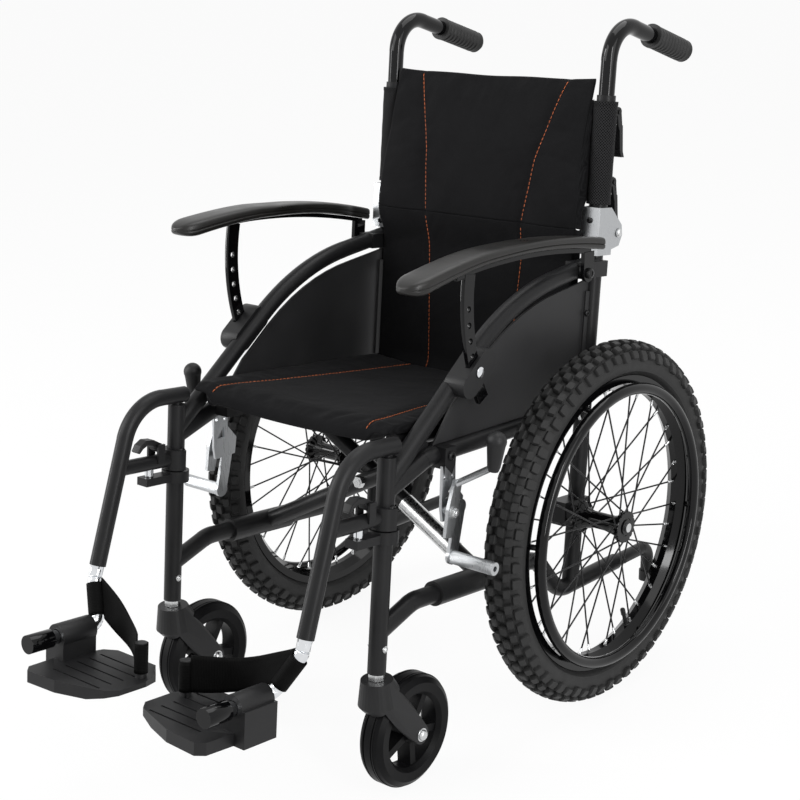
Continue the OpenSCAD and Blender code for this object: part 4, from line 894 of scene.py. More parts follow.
def back_wide(h):
    """Half width of the back cover, which flares a little at the hinge."""
    away = max(h - SPLIT_H, FLARE_SHARPER * (SPLIT_H - h)) / FLARE_REACH
    return BACK_HALF + BACK_FLARE * max(0, 1 - away ** 2)


def back_rake(h):
    """The cover stands forward at the hinge, leans back to its top edge and clears the seat's way below."""
    up = max(0, h - SPLIT_H) / (BACK_TOP - SPLIT_H)
    down = min(1, max(0, SPLIT_H - h) / STEP_REACH)
    return -HINGE_FORWARD + TOP_LEAN * up ** 1.6 + STEP_BACK * down ** 2 * (3 - 2 * down)


def back_middle(x, h):
    """Middle of the cover's thickness. Its foot comes forward to the seat, between the seat rails."""
    foot = FOOT_FORWARD * np.clip((188 - h) / 28, 0, 1) ** 2 * np.clip((148 - np.abs(x)) / 20, 0, 1)
    bow = BACK_BOW * np.cos(math.pi / 2 * x / BACK_HALF)
    return REAR_POST_Y - 10 + bow + back_rake(h) - BACK_THICK / 2 - foot


def back_half_thick(x, h):
    """Half thickness of the back cover, thinner at its sides and hems."""
    hem = np.clip(np.minimum(h - BACK_LOW, BACK_TOP - h) / 8, 0, 1)
    return BACK_THICK / 2 * (1 - 0.55 * np.abs(x / BACK_HALF) ** 4) * (0.45 + 0.55 * np.sqrt(hem))


def sewn_columns(half, line, side_steps, middle_steps):
    """Places across one row so that two columns fall on the sewn lines."""
    return np.concatenate([np.linspace(-half, -line, side_steps + 1)[:-1],
                           np.linspace(-line, line, middle_steps + 1)[:-1],
                           np.linspace(line, half, side_steps + 1)])


def grid_faces(rows, cols, start=0, turn=False):
    """Quads of a grid of points, turned over on request."""
    faces = []
    for k in range(rows - 1):
        for j in range(cols - 1):
            a = start + k * cols + j
            quad = (a, a + 1, a + cols + 1, a + cols)
            faces.append(quad[::-1] if turn else quad)
    return faces


# How the cloth of a cover behaves, and the frames it has to settle
CLOTH = {
    "quality": 6, "mass": 0.2, "tension_stiffness": 15, "compression_stiffness": 8, "shear_stiffness": 5,
    "bending_stiffness": 0.4, "air_damping": 2, "vertex_group_mass": "held", "use_pressure": True}
CLOTH_FRAMES = 24


def fill_out(name, skin, held, turn, cap):
    """Lets a skin of cloth swell between the points that are held, and returns where it settles."""
    scene = bpy.context.scene
    sizes = scene.chair_covers
    rows, cols = skin.shape[:2]
    start = skin.reshape(-1, 3)
    mesh = bpy.data.meshes.new(name)
    mesh.from_pydata([tuple(p) for p in start], [], grid_faces(rows, cols, turn=turn))
    work = bpy.data.objects.new(name, mesh)
    scene.collection.objects.link(work)
    group = work.vertex_groups.new(name="held")
    group.add([int(i) for i in np.flatnonzero(held.reshape(-1))], 1.0, "REPLACE")
    cloth = work.modifiers.new("cloth", "CLOTH")
    for key, value in CLOTH.items():
        setattr(cloth.settings, key, value)
    cloth.settings.uniform_pressure_force = sizes.pressure
    cloth.settings.shrink_min = -sizes.spare_cloth
    cloth.settings.effector_weights.gravity = 0
    cloth.collision_settings.use_collision = False
    cloth.point_cache.frame_start = 1
    cloth.point_cache.frame_end = CLOTH_FRAMES
    for k in range(1, CLOTH_FRAMES + 1):
        scene.frame_set(k)
    settled = work.evaluated_get(bpy.context.evaluated_depsgraph_get()).data
    end = np.array([v.co for v in settled.vertices])
    scene.frame_set(1)
    bpy.data.objects.remove(work)
    move = end - start
    length = np.linalg.norm(move, axis=1)
    reach = cap * np.tanh(length / cap)
    move *= (reach / np.maximum(length, 1e-9))[:, None]
    return (start + move).reshape(rows, cols, 3)


def closed_cover(name, outer, inner):
    """A padded cover from its two skins, joined round the edge."""
    rows, cols = outer.shape[:2]
    size = rows * cols
    shape = Shape()
    shape.points = [tuple(p) for p in np.concatenate([outer.reshape(-1, 3), inner.reshape(-1, 3)])]
    shape.faces = grid_faces(rows, cols) + grid_faces(rows, cols, size, turn=True)
    edge = [(0, j) for j in range(cols)] + [(k, cols - 1) for k in range(1, rows)]
    edge += [(rows - 1, j) for j in range(cols - 2, -1, -1)] + [(k, 0) for k in range(rows - 2, 0, -1)]
    for (k, j), (k2, j2) in zip(edge, edge[1:] + edge[:1]):
        a = k * cols + j
        b = k2 * cols + j2
        shape.faces.append((b, a, a + size, b + size))
    cover = facing_out(shape.piece(name, "woven_polyester"))
    add_modifier(cover, "SUBSURF", levels=1, render_levels=1)
    return cover


def surface_normals(skin):
    """Unit directions square to a grid of points."""
    across = np.gradient(skin, axis=1)
    along = np.gradient(skin, axis=0)
    n = np.cross(across, along)
    return n / np.maximum(np.linalg.norm(n, axis=2), 1e-12)[:, :, None]


def pull_seams(skin, seams, pulls):
    """Sinks a skin along its sewn columns and, less, beside them."""
    outs = surface_normals(skin)
    for j in seams:
        for near, pull in zip((-1, 0, 1), pulls):
            skin[:, j + near] -= outs[:, j + near] * pull


def distances(points):
    """How far along a line of points each of them lies."""
    return np.concatenate([[0], np.cumsum(np.linalg.norm(np.diff(points, axis=0), axis=1))])


# Places along a stitch, with its height and thickness there as shares of the thread's radius
STITCH_SPOTS = np.array([0, 0.12, 0.5, 0.88, 1.0])
STITCH_ARCH = (-0.4, 0.3, 0.9, 0.3, -0.4)
STITCH_SWELL = (0.4, 0.9, 1.0, 0.9, 0.4)
STITCH_LIFT = 0.0007
STITCH_END = 0.002


def add_stitches(shape, line, normals):
    """A row of stitches along a line of points: short arched threads, lifted on to the smoothed cloth."""
    sizes = bpy.context.scene.chair_covers
    walk = distances(line)
    step = sizes.stitch_length + sizes.stitch_gap
    radius = sizes.thread_width / 2
    turn = 2 * math.pi * np.arange(6)[:, None] / 6
    for k in range(int((walk[-1] - 2 * STITCH_END) / step)):
        spots = STITCH_END + k * step + sizes.stitch_length * STITCH_SPOTS
        points = np.stack([np.interp(spots, walk, line[:, i]) for i in range(3)], axis=1)
        outs = np.stack([np.interp(spots, walk, normals[:, i]) for i in range(3)], axis=1)
        outs /= np.linalg.norm(outs, axis=1)[:, None]
        along = points[-1] - points[0]
        along /= np.linalg.norm(along)
        rings = []
        for p, n, arch, swell in zip(points, outs, STITCH_ARCH, STITCH_SWELL):
            w = np.cross(along, n)
            middle = p + n * (arch * radius + STITCH_LIFT)
            rings.append(middle + swell * radius * (np.cos(turn) * w + np.sin(turn) * n))
        shape.skin(rings)


class WHEELCHAIR_OT_seat_cover(bpy.types.Operator):
    """Build the padded seat cover and its sewn lines"""

    bl_idname = "wheelchair.seat_cover"
    bl_label = "Seat cover"

    def execute(self, context):
        sizes = context.scene.chair_covers
        side_steps = 9
        middle_steps = 48
        seams = (side_steps, side_steps + middle_steps)
        # Rows lie closer together in the roll at the front
        ys = np.concatenate([np.linspace(SEAT_FRONT, SEAT_FRONT + 20, 8)[:-1],
                             np.linspace(SEAT_FRONT + 20, SEAT_BACK, 67)])
        top = []
        bottom = []
        for y in ys:
            half = SEAT_HALF - 4 * max(0, (SEAT_FRONT + 40 - y) / 40) ** 2
            x = sewn_columns(half, np.interp(y, *SEAT_LINE), side_steps, middle_steps)
            top.append(place(np.stack([x, np.full_like(x, y), seat_top(x, y)], axis=1)))
            bottom.append(place(np.stack([x, np.full_like(x, y), seat_bottom(x, y)], axis=1)))
        top = np.array(top)
        bottom = np.array(bottom)
        held = np.zeros(top.shape[:2], bool)
        held[:, [0, *seams, -1]] = True
        held[[0, -1], :] = True
        top = fill_out("seat_skin", top, held, False, sizes.seat_puff)
        pull_seams(top, seams, SEAT_PULL)
        cover = closed_cover("padded_seat_cover", top, bottom)
        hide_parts("seat_cover")
        threads = Shape()
        outs = surface_normals(top)
        for j in seams:
            add_stitches(threads, top[:, j], outs[:, j])
        thread = facing_out(threads.piece("seat_stitches", "sewing_thread"))
        for piece in (cover, thread):
            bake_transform(piece)
        return {"FINISHED"}


# Slack of the back cover: how far its rear may swell, its folds rise and its top edge hang, in metres
REAR_PUFF = 0.003
FOLD_RISE = 0.00055
EDGE_HANG = 0.0035
EDGE_WAVE = 0.0007
HANG_REACH = 70

# Below this height the back's padding thins out, because the seat rises in front of it when the chair folds
PADDING_LOW = 345


def close_edge(skin, first):
    """Puts a second row close to the edge at the hinge, so that smoothing leaves no gap there."""
    edge, near = (skin[0], skin[1]) if first else (skin[-1], skin[-2])
    row = edge + (near - edge) * 0.06
    return np.insert(skin, 1 if first else len(skin) - 1, row, axis=0)


class WHEELCHAIR_OT_back_cover(bpy.types.Operator):
    """Build the padded back cover, its sewn lines and the break at the back hinge"""

    bl_idname = "wheelchair.back_cover"
    bl_label = "Back cover"

    def execute(self, context):
        sizes = context.scene.chair_covers
        side_steps = 12
        middle_steps = 44
        seams = (side_steps, side_steps + middle_steps)
        # Rows lie closer together in the two hems
        low = np.concatenate([np.linspace(BACK_LOW, BACK_LOW + 8, 4)[:-1],
                              np.linspace(BACK_LOW + 8, SPLIT_H, 40)])
        high = np.concatenate([np.linspace(SPLIT_H, BACK_TOP - 8, 36)[1:-1],
                               np.linspace(BACK_TOP - 8, BACK_TOP, 4)])
        hs = np.concatenate([low, high])
        split = len(low) - 1
        front = []
        rear = []
        for h in hs:
            x = sewn_columns(back_wide(h), np.interp(h, *BACK_LINE), side_steps, middle_steps)
            middle = back_middle(x, h)
            half = back_half_thick(x, h)
            front.append(place(np.stack([x, middle - half, np.full_like(x, h)], axis=1)))
            rear.append(place(np.stack([x, middle + half, np.full_like(x, h)], axis=1)))
        front = np.array(front)
        rear = np.array(rear)
        near_top = np.clip((hs - BACK_TOP + HANG_REACH) / HANG_REACH, 0, 1)[:, None] ** 2
        drop = self.slack_edge(front.shape[1])[None, :] * near_top
        for skin in (front, rear):
            skin[:, :, 2] -= drop
        held = np.zeros(front.shape[:2], bool)
        held[:, [0, -1]] = True
        held[[0, -1], :] = True
        rear = fill_out("back_rear_skin", rear, held, True, REAR_PUFF)
        held[:, seams] = True
        ease = np.clip((hs - PADDING_LOW) / (SPLIT_H - PADDING_LOW), 0.1, 1)[:, None, None]
        front += ease * (fill_out("back_front_skin", front, held, False, sizes.back_puff) - front)
        pull_seams(front, seams, BACK_PULL)
        front += surface_normals(front) * self.wrinkles(front)[:, :, None] * ease
        outs = surface_normals(front)
        parts = (("upper", slice(split, None), "left_back_cane"),
                 ("lower", slice(0, split + 1), "left_frame"))
        for part, rows, body in parts:
            outer, inner = (close_edge(skin[rows], part == "upper") for skin in (front, rear))
            cover = closed_cover(f"padded_back_cover_{part}", outer, inner)
            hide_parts(f"back_cover_{part}")
            threads = Shape()
            for j in seams:
                add_stitches(threads, front[rows][:, j], outs[rows][:, j])
            thread = facing_out(threads.piece(f"back_stitches_{part}", "sewing_thread"))
            for piece in (cover, thread):
                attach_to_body(piece, body)
                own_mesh(piece)
        return {"FINISHED"}

    @staticmethod
    def wrinkles(skin):
        """Shallow slack folds that lean towards the corners and fade at the hems, in metres."""
        rows, cols = skin.shape[:2]
        x = np.linspace(-1, 1, cols)[None, :]
        h = np.linspace(0, 1, rows)[:, None]
        fold = np.sin(31 * h + 7 * np.abs(x) + 1.3 * np.sin(9 * x))
        fold = fold + 0.6 * np.sin(19 * h - 11 * x + 2 * np.sin(5 * h))
        fade = np.clip((1 - np.abs(x)) * 9, 0, 1) * np.clip(np.minimum(h, 1 - h) * 14, 0, 1)
        return FOLD_RISE * fold * fade * (0.35 + np.abs(x))

    @staticmethod
    def slack_edge(count):
        """How far the top edge hangs below its corners, in metres."""
        share = np.linspace(0, 1, count)
        arch = np.sin(math.pi * share)
        return EDGE_HANG * arch ** 0.6 + EDGE_WAVE * np.sin(17 * share) * arch


def map_sheet(obj, cols, along, across):
    """Gives a grid piece a flat map in metres. across has one place more where the rows close up."""
    layer = obj.data.uv_layers.new(name="flat")
    for polygon in obj.data.polygons:
        picks = [obj.data.loops[i].vertex_index for i in polygon.loop_indices]
        last = max(p % cols for p in picks) == cols - 1
        for i, p in zip(polygon.loop_indices, picks):
            j = p % cols
            if j == 0 and last and len(across) > cols:
                j = cols
            layer.data[i].uv = (along[p // cols], across[j])


# Side flaps

FLAP_LOW = 300
FLAP_TOP = 578
FLAP_COLS = 9

# Where a flap is tied to its tube: the tube's inner face, and the y of the tie against h
FLAP_TUBE_X = 175.4
FLAP_TIE = ((FLAP_LOW, 398, 403, 424, 442), (14, 15, 12.4, 12.4, 21.4))


def flap_ring(s, h):
    """One row of a side flap, from the edge of the cover back to the tube it is tied to."""
    share = np.linspace(0, 1, FLAP_COLS)
    belly = np.sin(math.pi * share)
    start = back_wide(h) - 1.5
    bulge = 1.5 + 1.1 * math.sin(h / 6.1) + 0.7 * math.sin(h / 2.9)
    x = start + (FLAP_TUBE_X - start) * share + bulge * belly
    edge = back_middle(back_wide(h), h)
    y = edge + (np.interp(h, *FLAP_TIE) - edge) * share
    slack = 2.2 * belly * math.sin(h / 9.3)
    return np.stack([s * x, y, h + slack], axis=1)


class WHEELCHAIR_OT_side_flaps(bpy.types.Operator):
    """Build the slack cloth between the sides of the back cover and the tubes"""

    bl_idname = "wheelchair.side_flaps"
    bl_label = "Side flaps"

    def execute(self, context):
        # The two flaps of a side stop short of each other at the hinge
        parts = (("upper", SPLIT_H + 0.6, FLAP_TOP, "back_cane"), ("lower", FLAP_LOW, SPLIT_H - 0.6, "frame"))
        for side, s in SIDES:
            for part, low, high, body in parts:
                hs = np.linspace(low, high, 56)
                rows = np.array([place(flap_ring(s, h)) for h in hs])
                shape = Shape()
                shape.points = [tuple(p) for p in rows.reshape(-1, 3)]
                shape.faces = grid_faces(*rows.shape[:2])
                flap = shape.piece(f"{side}_side_flap_{part}", "woven_polyester")
                wide = float(np.linalg.norm(np.diff(rows, axis=1), axis=2).sum(axis=1).mean())
                map_sheet(flap, FLAP_COLS, hs / 1000, np.linspace(0, wide, FLAP_COLS))
                add_modifier(flap, "SOLIDIFY", thickness=0.0009, offset=0)
                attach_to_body(flap, f"{side}_{body}")
        return {"FINISHED"}


# Cane sleeves

SLEEVE_LOW = 436
SLEEVE_HIGH = 576
SLEEVE_R = 16.5
SLEEVE_HEM = 5.3
SLEEVE_SIDES = 48
RIPPLES = 6


class WHEELCHAIR_OT_cane_sleeves(bpy.types.Operator):
    """Build the mesh sleeves that hold the back cover on the canes"""

    bl_idname = "wheelchair.cane_sleeves"
    bl_label = "Cane sleeves"

    def execute(self, context):
        turns = 2 * math.pi * np.arange(SLEEVE_SIDES) / SLEEVE_SIDES
        rng = np.random.RandomState(11)
        phase = rng.uniform(0, 6.28, RIPPLES)
        hems = (0, 0.6, 5, 5.6)
        hs = np.concatenate([[SLEEVE_LOW + step for step in hems],
                             np.linspace(SLEEVE_LOW + 8, SLEEVE_HIGH - 8, 34),
                             [SLEEVE_HIGH - step for step in hems[::-1]]])
        for side, s in SIDES:
            rings = []
            for h in hs:
                in_hem = h < SLEEVE_LOW + SLEEVE_HEM or h > SLEEVE_HIGH - SLEEVE_HEM
                ripple = 0.08 * sum(math.sin(h / 5.5 + phase[k]) * np.cos((k + 1) * turns + phase[k])
                                    for k in range(RIPPLES))
                r = SLEEVE_R + (0.5 + 0.35 * ripple if in_hem else ripple)
                rings.append(place(np.stack([
                    s * (FRAME_X + r * np.cos(turns)), REAR_POST_Y + r * np.sin(turns),
                    np.full(SLEEVE_SIDES, h)], axis=1)))
            shape = Shape()
            shape.skin(rings, caps=False)
            sleeve = shape.piece(f"{side}_cane_sleeve", "spacer_mesh")
            round_way = np.append(turns, 2 * math.pi) * SLEEVE_R / 1000
            map_sheet(sleeve, SLEEVE_SIDES, hs / 1000, round_way)
            facing_out(sleeve)
            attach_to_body(sleeve, f"{side}_back_cane")
        return {"FINISHED"}


# Heel straps

STRAP_POST = (41, -585)
STRAP_LOW = -154
STRAP_WIDTH = 48
STRAP_SLACK = 14
STRAP_WAVE = 2.2
LEG_KNEE = (189, -538.2, -79.3)
LEG_TOE = (161, -555.1, -130)
LOOP_SIDES = 32
POST_LOOP_TOP = -115
POST_LOOP_R = 8.3
LEG_LOOP_R = 10.6


def strap_band(s):
    """Rows of points of the heel strap's mid-surface, from the strap post to the leg tube."""
    a = np.array([STRAP_POST[0] + 8.2, STRAP_POST[1]])
    b = np.array([LEG_KNEE[0] - 12.3, LEG_KNEE[1] + 2])
    # Below the knee the band's end leans with the tube
    slant = [(LEG_TOE[k] - LEG_KNEE[k]) / (LEG_TOE[2] - LEG_KNEE[2]) for k in (0, 1)]
    v = np.linspace(0, 1, 9)
    rows = []
    for t in np.linspace(0, 1, 40):
        x, y = a + (b - a) * t + np.array([0, STRAP_SLACK * math.sin(math.pi * t)])
        low = STRAP_LOW + (LEG_KNEE[2] - 42 - STRAP_LOW) * t ** 2
        h = low + STRAP_WIDTH * (0.94 + 0.06 * math.cos(math.pi * t) ** 2) * v
        lean = np.minimum(0, h - LEG_KNEE[2]) * t ** 2
        # The free middle of the band waves a little
        wave = STRAP_WAVE * math.sin(math.pi * t) * np.sin(3.3 * v + 5 * t)
        rows.append(np.stack([s * (x + slant[0] * lean), y + slant[1] * lean + wave, h], axis=1))
    return np.array(rows)


class WHEELCHAIR_OT_heel_straps(bpy.types.Operator):
    """Build the webbing heel straps and the loops that hold their ends"""

    bl_idname = "wheelchair.heel_straps"
    bl_label = "Heel straps"

    def execute(self, context):
        turns = 2 * math.pi * np.arange(LOOP_SIDES) / LOOP_SIDES
        round_way = np.append(turns, 2 * math.pi)
        loops = (("post_loop", self.post_path(), POST_LOOP_R, "footplate"),
                 ("leg_loop", self.leg_path(), LEG_LOOP_R, "leg_tube"))
        for side, s in SIDES:
            band = strap_band(s)
            rows, cols = band.shape[:2]
            shape = Shape()
            shape.points = [tuple(p) for p in place(band.reshape(-1, 3))]
            shape.faces = grid_faces(rows, cols)
            strap = shape.piece(f"{side}_webbing_strap", "nylon_webbing")
            walk = distances(band[:, cols // 2]) / 1000
            map_sheet(strap, cols, walk, np.linspace(0, 0.05, cols))
            add_modifier(strap, "SOLIDIFY", thickness=0.0018, offset=0)
            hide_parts(f"{side}_heel_strap")
            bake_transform(strap)

            for name, path, radius, body in loops:
                path = path * (s, 1, 1)
                rings = []
                for k, p in enumerate(path):
                    _, u, w = basis(path[min(k + 1, len(path) - 1)] - path[max(k - 1, 0)])
                    ring = p + radius * (np.cos(turns)[:, None] * u + np.sin(turns)[:, None] * w)
                    rings.append(place(ring))
                shape = Shape()
                shape.skin(rings, caps=False)
                loop = shape.piece(f"{side}_strap_{name}", "nylon_webbing")
                walk = distances(path) / 1000
                map_sheet(loop, LOOP_SIDES, walk, round_way * radius / 1000)
                facing_out(loop)
                add_modifier(loop, "SOLIDIFY", thickness=0.0012, offset=0)
                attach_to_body(loop, f"{side}_{body}")
        return {"FINISHED"}

    @staticmethod
    def post_path():
        """Centre line of the strap post over the height of the strap."""
        return np.array([(*STRAP_POST, h) for h in np.linspace(STRAP_LOW, POST_LOOP_TOP, 9)])

    @staticmethod
    def leg_path():
        """Centre line of the leg tube over the height of the strap."""
        knee = np.array(LEG_KNEE)
        toe = np.array(LEG_TOE)
        return np.array([knee + (toe - knee) * t for t in np.linspace(0.08, 0.8, 11)])


# Fasteners, caps and the brake roller's knurl

OUTWARD = (1, 0, 0)
INWARD = (-1, 0, 0)
AHEAD = (0, -1, 0)

# Heads on the left side: their kind, foot, direction, radius and height
DARK_SCREWS = (
    (socket_screw, (212, -15, 345), OUTWARD, 7.5, 5),
    (socket_screw, (194, 13.5, 205), OUTWARD, 4.5, 3.2),
    (socket_screw, (194, 13.5, 285), OUTWARD, 4.5, 3.2),
    (socket_screw, (209, -297, 131), OUTWARD, 6, 4),
    (socket_screw, (177, -398, 78), INWARD, 5, 3.5),
    (socket_screw, (201, -398, 78), OUTWARD, 5, 3.5),
    (socket_screw, (FRAME_X, 12.9, 376), AHEAD, 4.2, 3),
    (socket_screw, (FRAME_X, 12.9, 414), AHEAD, 4.2, 3),
)
BRIGHT_BOLTS = (
    (domed_screw, (177.3, -398, -104), INWARD, 3.6, 3.4),
    (domed_screw, (200.7, -398, -104), OUTWARD, 3.6, 3.4),
    (hex_nut, (220.6, -300, 60), OUTWARD, 6.4, 5),
    (domed_screw, (206.2, 62, 396), OUTWARD, 5, 3.6),
)
FORK_HALF = 28.2

# The brake roller: its axis in the side view, and the knurl's places across with the share of its bite there
ROLLER = (-287, -3)
ROLLER_R = 8.5
KNURL_TEETH = 40
KNURL_RINGS = ((215.5, 0), (216.3, 1), (280.4, 1), (281.4, 0))

# The seat rails: place across, height, both ends with the way out of them, and the plugs' profile
RAIL_X = 162
RAIL_H = 150
RAIL_ENDS = ((-356, -1), (-6, 1))
PLUG = ((9, -3), (9, -0.2), (11.5, 0.2), (11.6, 1.2), (11.2, 1.9), (9.8, 2.3), (5, 2.5), (1, 2.6))


def mirrored(point, s):
    """A point or direction of the left side, put on side s."""
    return (s * point[0], point[1], point[2])


class WHEELCHAIR_OT_fasteners(bpy.types.Operator):
    """Add screws, nuts, tube plugs and the knurled brake rollers"""

    bl_idname = "wheelchair.fasteners"
    bl_label = "Fasteners"

    def execute(self, context):
        groups = (("frame_screws", "blackened_steel", "gloss_paint", DARK_SCREWS),
                  ("frame_bolts", "zinc_plate", "alloy", BRIGHT_BOLTS))
        corners = np.arange(4 * KNURL_TEETH)
        turns = 2 * math.pi * corners / (4 * KNURL_TEETH)
        bite = 0.02 + 0.34 * (corners % 4 < 2)
        for side, s in SIDES:
            for name, material, slot, heads in groups:
                shape = Shape()
                for head, foot, way, radius, height in heads:
                    head(shape, mirrored(foot, s), mirrored(way, s), radius, height)
                made = shape.piece(f"{side}_{name}", material, sharp=35)
                attach(made, f"{side}_frame")

            axle = Shape()
            lo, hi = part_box(f"{side}_caster_wheel")
            hub = unplace([(lo + hi) / 2])[0]
            for way in (1, -1):
                domed_screw(axle, hub + np.array([way * FORK_HALF, 0, 0]), (way, 0, 0), 7.2, 6.2)
            made = axle.piece(f"{side}_caster_bolts", "zinc_plate", sharp=35)
            attach(made, f"{side}_caster_fork")

            rings = []
            for x, share in KNURL_RINGS:
                r = ROLLER_R + bite * share
                y = ROLLER[0] + r * np.cos(turns)
                h = ROLLER[1] + r * np.sin(turns)
                rings.append(place(np.stack([np.full_like(r, s * x), y, h], axis=1)))
            knurl = Shape()
            knurl.skin(rings, caps=False)
            made = knurl.piece(f"{side}_roller_knurl", "brushed_alloy", sharp=30)
            attach(made, f"{side}_brake_arm")

        for x, body in ((-RAIL_X, "brace_a"), (RAIL_X, "brace_b")):
            plugs = Shape()
            for y, way in RAIL_ENDS:
                turned(plugs, (x, y, RAIL_H), (0, way, 0), PLUG, sides=32)
            made = plugs.piece(f"{body}_rail_plugs", "moulded_nylon", sharp=40)
            attach(made, body)
        return {"FINISHED"}


# Finishes of the CAD nodes

BRACE_R = 12
BEVEL_ANGLE = math.radians(40)


def dress(node, *finishes, pick=None, bevel=0.0):
    """Gives a CAD node its finishes, the second on the faces that pick names, and rounds its edges in mm."""
    obj = NODES[node]
    mesh = obj.data
    mesh.materials.clear()
    for name in finishes:
        mesh.materials.append(finish(name))
    count = len(mesh.polygons)
    index = np.zeros(count, np.int32)
    if pick:
        centres = np.zeros(count * 3)
        mesh.polygons.foreach_get("center", centres)
        x, y, h = unplace(centres.reshape(-1, 3)).T
        index = np.asarray(pick(np.abs(x), y, h), np.int32)
    mesh.polygons.foreach_set("material_index", index)
    if bevel:
        add_modifier(obj, "WELD", merge_threshold=0.00002)
        add_modifier(obj, "BEVEL", width=bevel / 1000, segments=2, limit_method="ANGLE",
                     angle_limit=BEVEL_ANGLE, harden_normals=False, use_clamp_overlap=True)


def is_bare_pin(x, y, h):
    """Faces of the rear axle and of the caster's pin."""
    axle = (x > FRAME_X + 16) & (np.hypot(y, h) < 7.5)
    return axle | (h < -137.5)


def is_tip_foot(x, y, h):
    """Faces of the rubber foot on the tip bar."""
    return y > 225


def is_knob(x, y, h):
    """Faces of the brake lever's knob."""
    return (h > 121) & (x > 258)


def is_clamp(x, y, h):
    """Faces of the clamp over the brake bracket."""
    return h > 114


def is_peg_cap(x, y, h):
    """Faces of the cap on the footplate's peg."""
    return y < -632


def is_spoke(x, y, h):
    """Faces of the spokes beyond the hub's flanges."""
    return np.hypot(y, h) > 23


def is_catch_pin(x, y, h):
    """Faces of the pin that the hanger's catch holds."""
    return (np.hypot(x - FRAME_X, y + 446) < 6.4) & (h < 58)


def is_brace_sleeve(x, y, h):
    """Faces of the thicker sleeve on the lower half of the rear brace."""
    foot = np.array([FRAME_X, -185, -58])
    way = np.array([0, -185, 42.15]) - foot
    off = np.stack([x, y, h], axis=1) - foot
    share = off @ way / (way @ way)
    away = np.linalg.norm(off - share[:, None] * way, axis=1)
    return (share > 0.25) & (share < 0.75) & (away > BRACE_R + 0.3) & (away < BRACE_R + 8)


class WHEELCHAIR_OT_finishes(bpy.types.Operator):
    """Give every CAD piece that stays in sight its finish"""

    bl_idname = "wheelchair.finishes"
    bl_label = "Finishes of the frame"

    def execute(self, context):
        for side, _ in SIDES:
            dress(f"{side}_side_frame", "powder_coated_steel", "zinc_plate", pick=is_bare_pin)
            dress(f"{side}_side_guard", "grained_abs", bevel=0.6)
            dress(f"{side}_armrest_bracket", "moulded_nylon", bevel=1.6)
            dress(f"{side}_tip_bar", "powder_coated_steel", "grip_rubber", pick=is_tip_foot)
            dress(f"{side}_back_hinge", "brushed_alloy", bevel=0.8)
            dress(f"{side}_brake_bracket", "brushed_alloy", "moulded_nylon", pick=is_clamp, bevel=0.7)
            dress(f"{side}_brake_lever", "brushed_alloy", "moulded_nylon", pick=is_knob, bevel=0.7)
            dress(f"{side}_brake_arm", "brushed_alloy", bevel=0.6)
            dress(f"{side}_arm_stem", "gloss_enamelled_alloy", bevel=0.6)
            dress(f"{side}_arm_button", "chrome_plate")
            dress(f"{side}_hanger", "powder_coated_steel", "chrome_plate", pick=is_catch_pin)
            dress(f"{side}_hanger_latch", "moulded_nylon", bevel=1.2)
            dress(f"{side}_leg_tube", "chrome_plate", "gloss_enamelled_alloy", pick=is_peg_cap, bevel=1.2)
            dress(f"{side}_footplate", "moulded_nylon", bevel=1.8)
            dress(f"{side}_caster_fork", "moulded_nylon", bevel=1.2)
            dress(f"{side}_caster_wheel", "cast_polyurethane")
            dress(f"{side}_rim", "gloss_enamelled_alloy")
            dress(f"{side}_hub", "gloss_enamelled_alloy", "blackened_steel", pick=is_spoke)
            dress(f"{side}_handrim", "gloss_enamelled_alloy")
            dress(f"{side}_back_cane", "powder_coated_steel")
            dress(f"{side}_push_handle", "gloss_enamelled_alloy")
            dress(f"{side}_grip", "grip_rubber")
            dress(f"{side}_handle_clamp", "moulded_nylon", bevel=1.4)
            dress(f"{side}_back_release", "moulded_nylon", bevel=1.4)
        dress("brace_a", "powder_coated_steel", "zinc_plate", pick=is_brace_sleeve)
        dress("brace_b", "powder_coated_steel")
        dress("brace_bolt", "zinc_plate")
        return {"FINISHED"}


# Stage

# The camera's place and aim in metres: across, back from the rear axle and up from the floor
EYE = (1.4258, -1.7843, 1.1339)
TARGET = (0, -0.12645, 0.4258)
ROLL = math.radians(-2.4)

FLOOR_HALF = 30
FLOOR_LINES = 13
LAMP_AIM = Vector((0, 0.05, 0.45))

# Soft lights: place, width and height in metres, and the setting that holds their power
LAMPS = (
    ("key_light", (-1.5, -2.6, 2.6), (2.4, 2.4), "key_power"),
    ("fill_light", (2.9, -0.4, 1.8), (2.0, 2.0), "fill_power"),
    ("top_light", (0.2, 0.9, 3.2), (2.2, 2.2), "top_power"),
    ("left_strip", (2.6, -1.0, 1.3), (0.3, 2.4), "strip_power"),
    ("right_strip", (-2.3, -1.5, 1.3), (0.3, 2.4), "strip_power"),
)


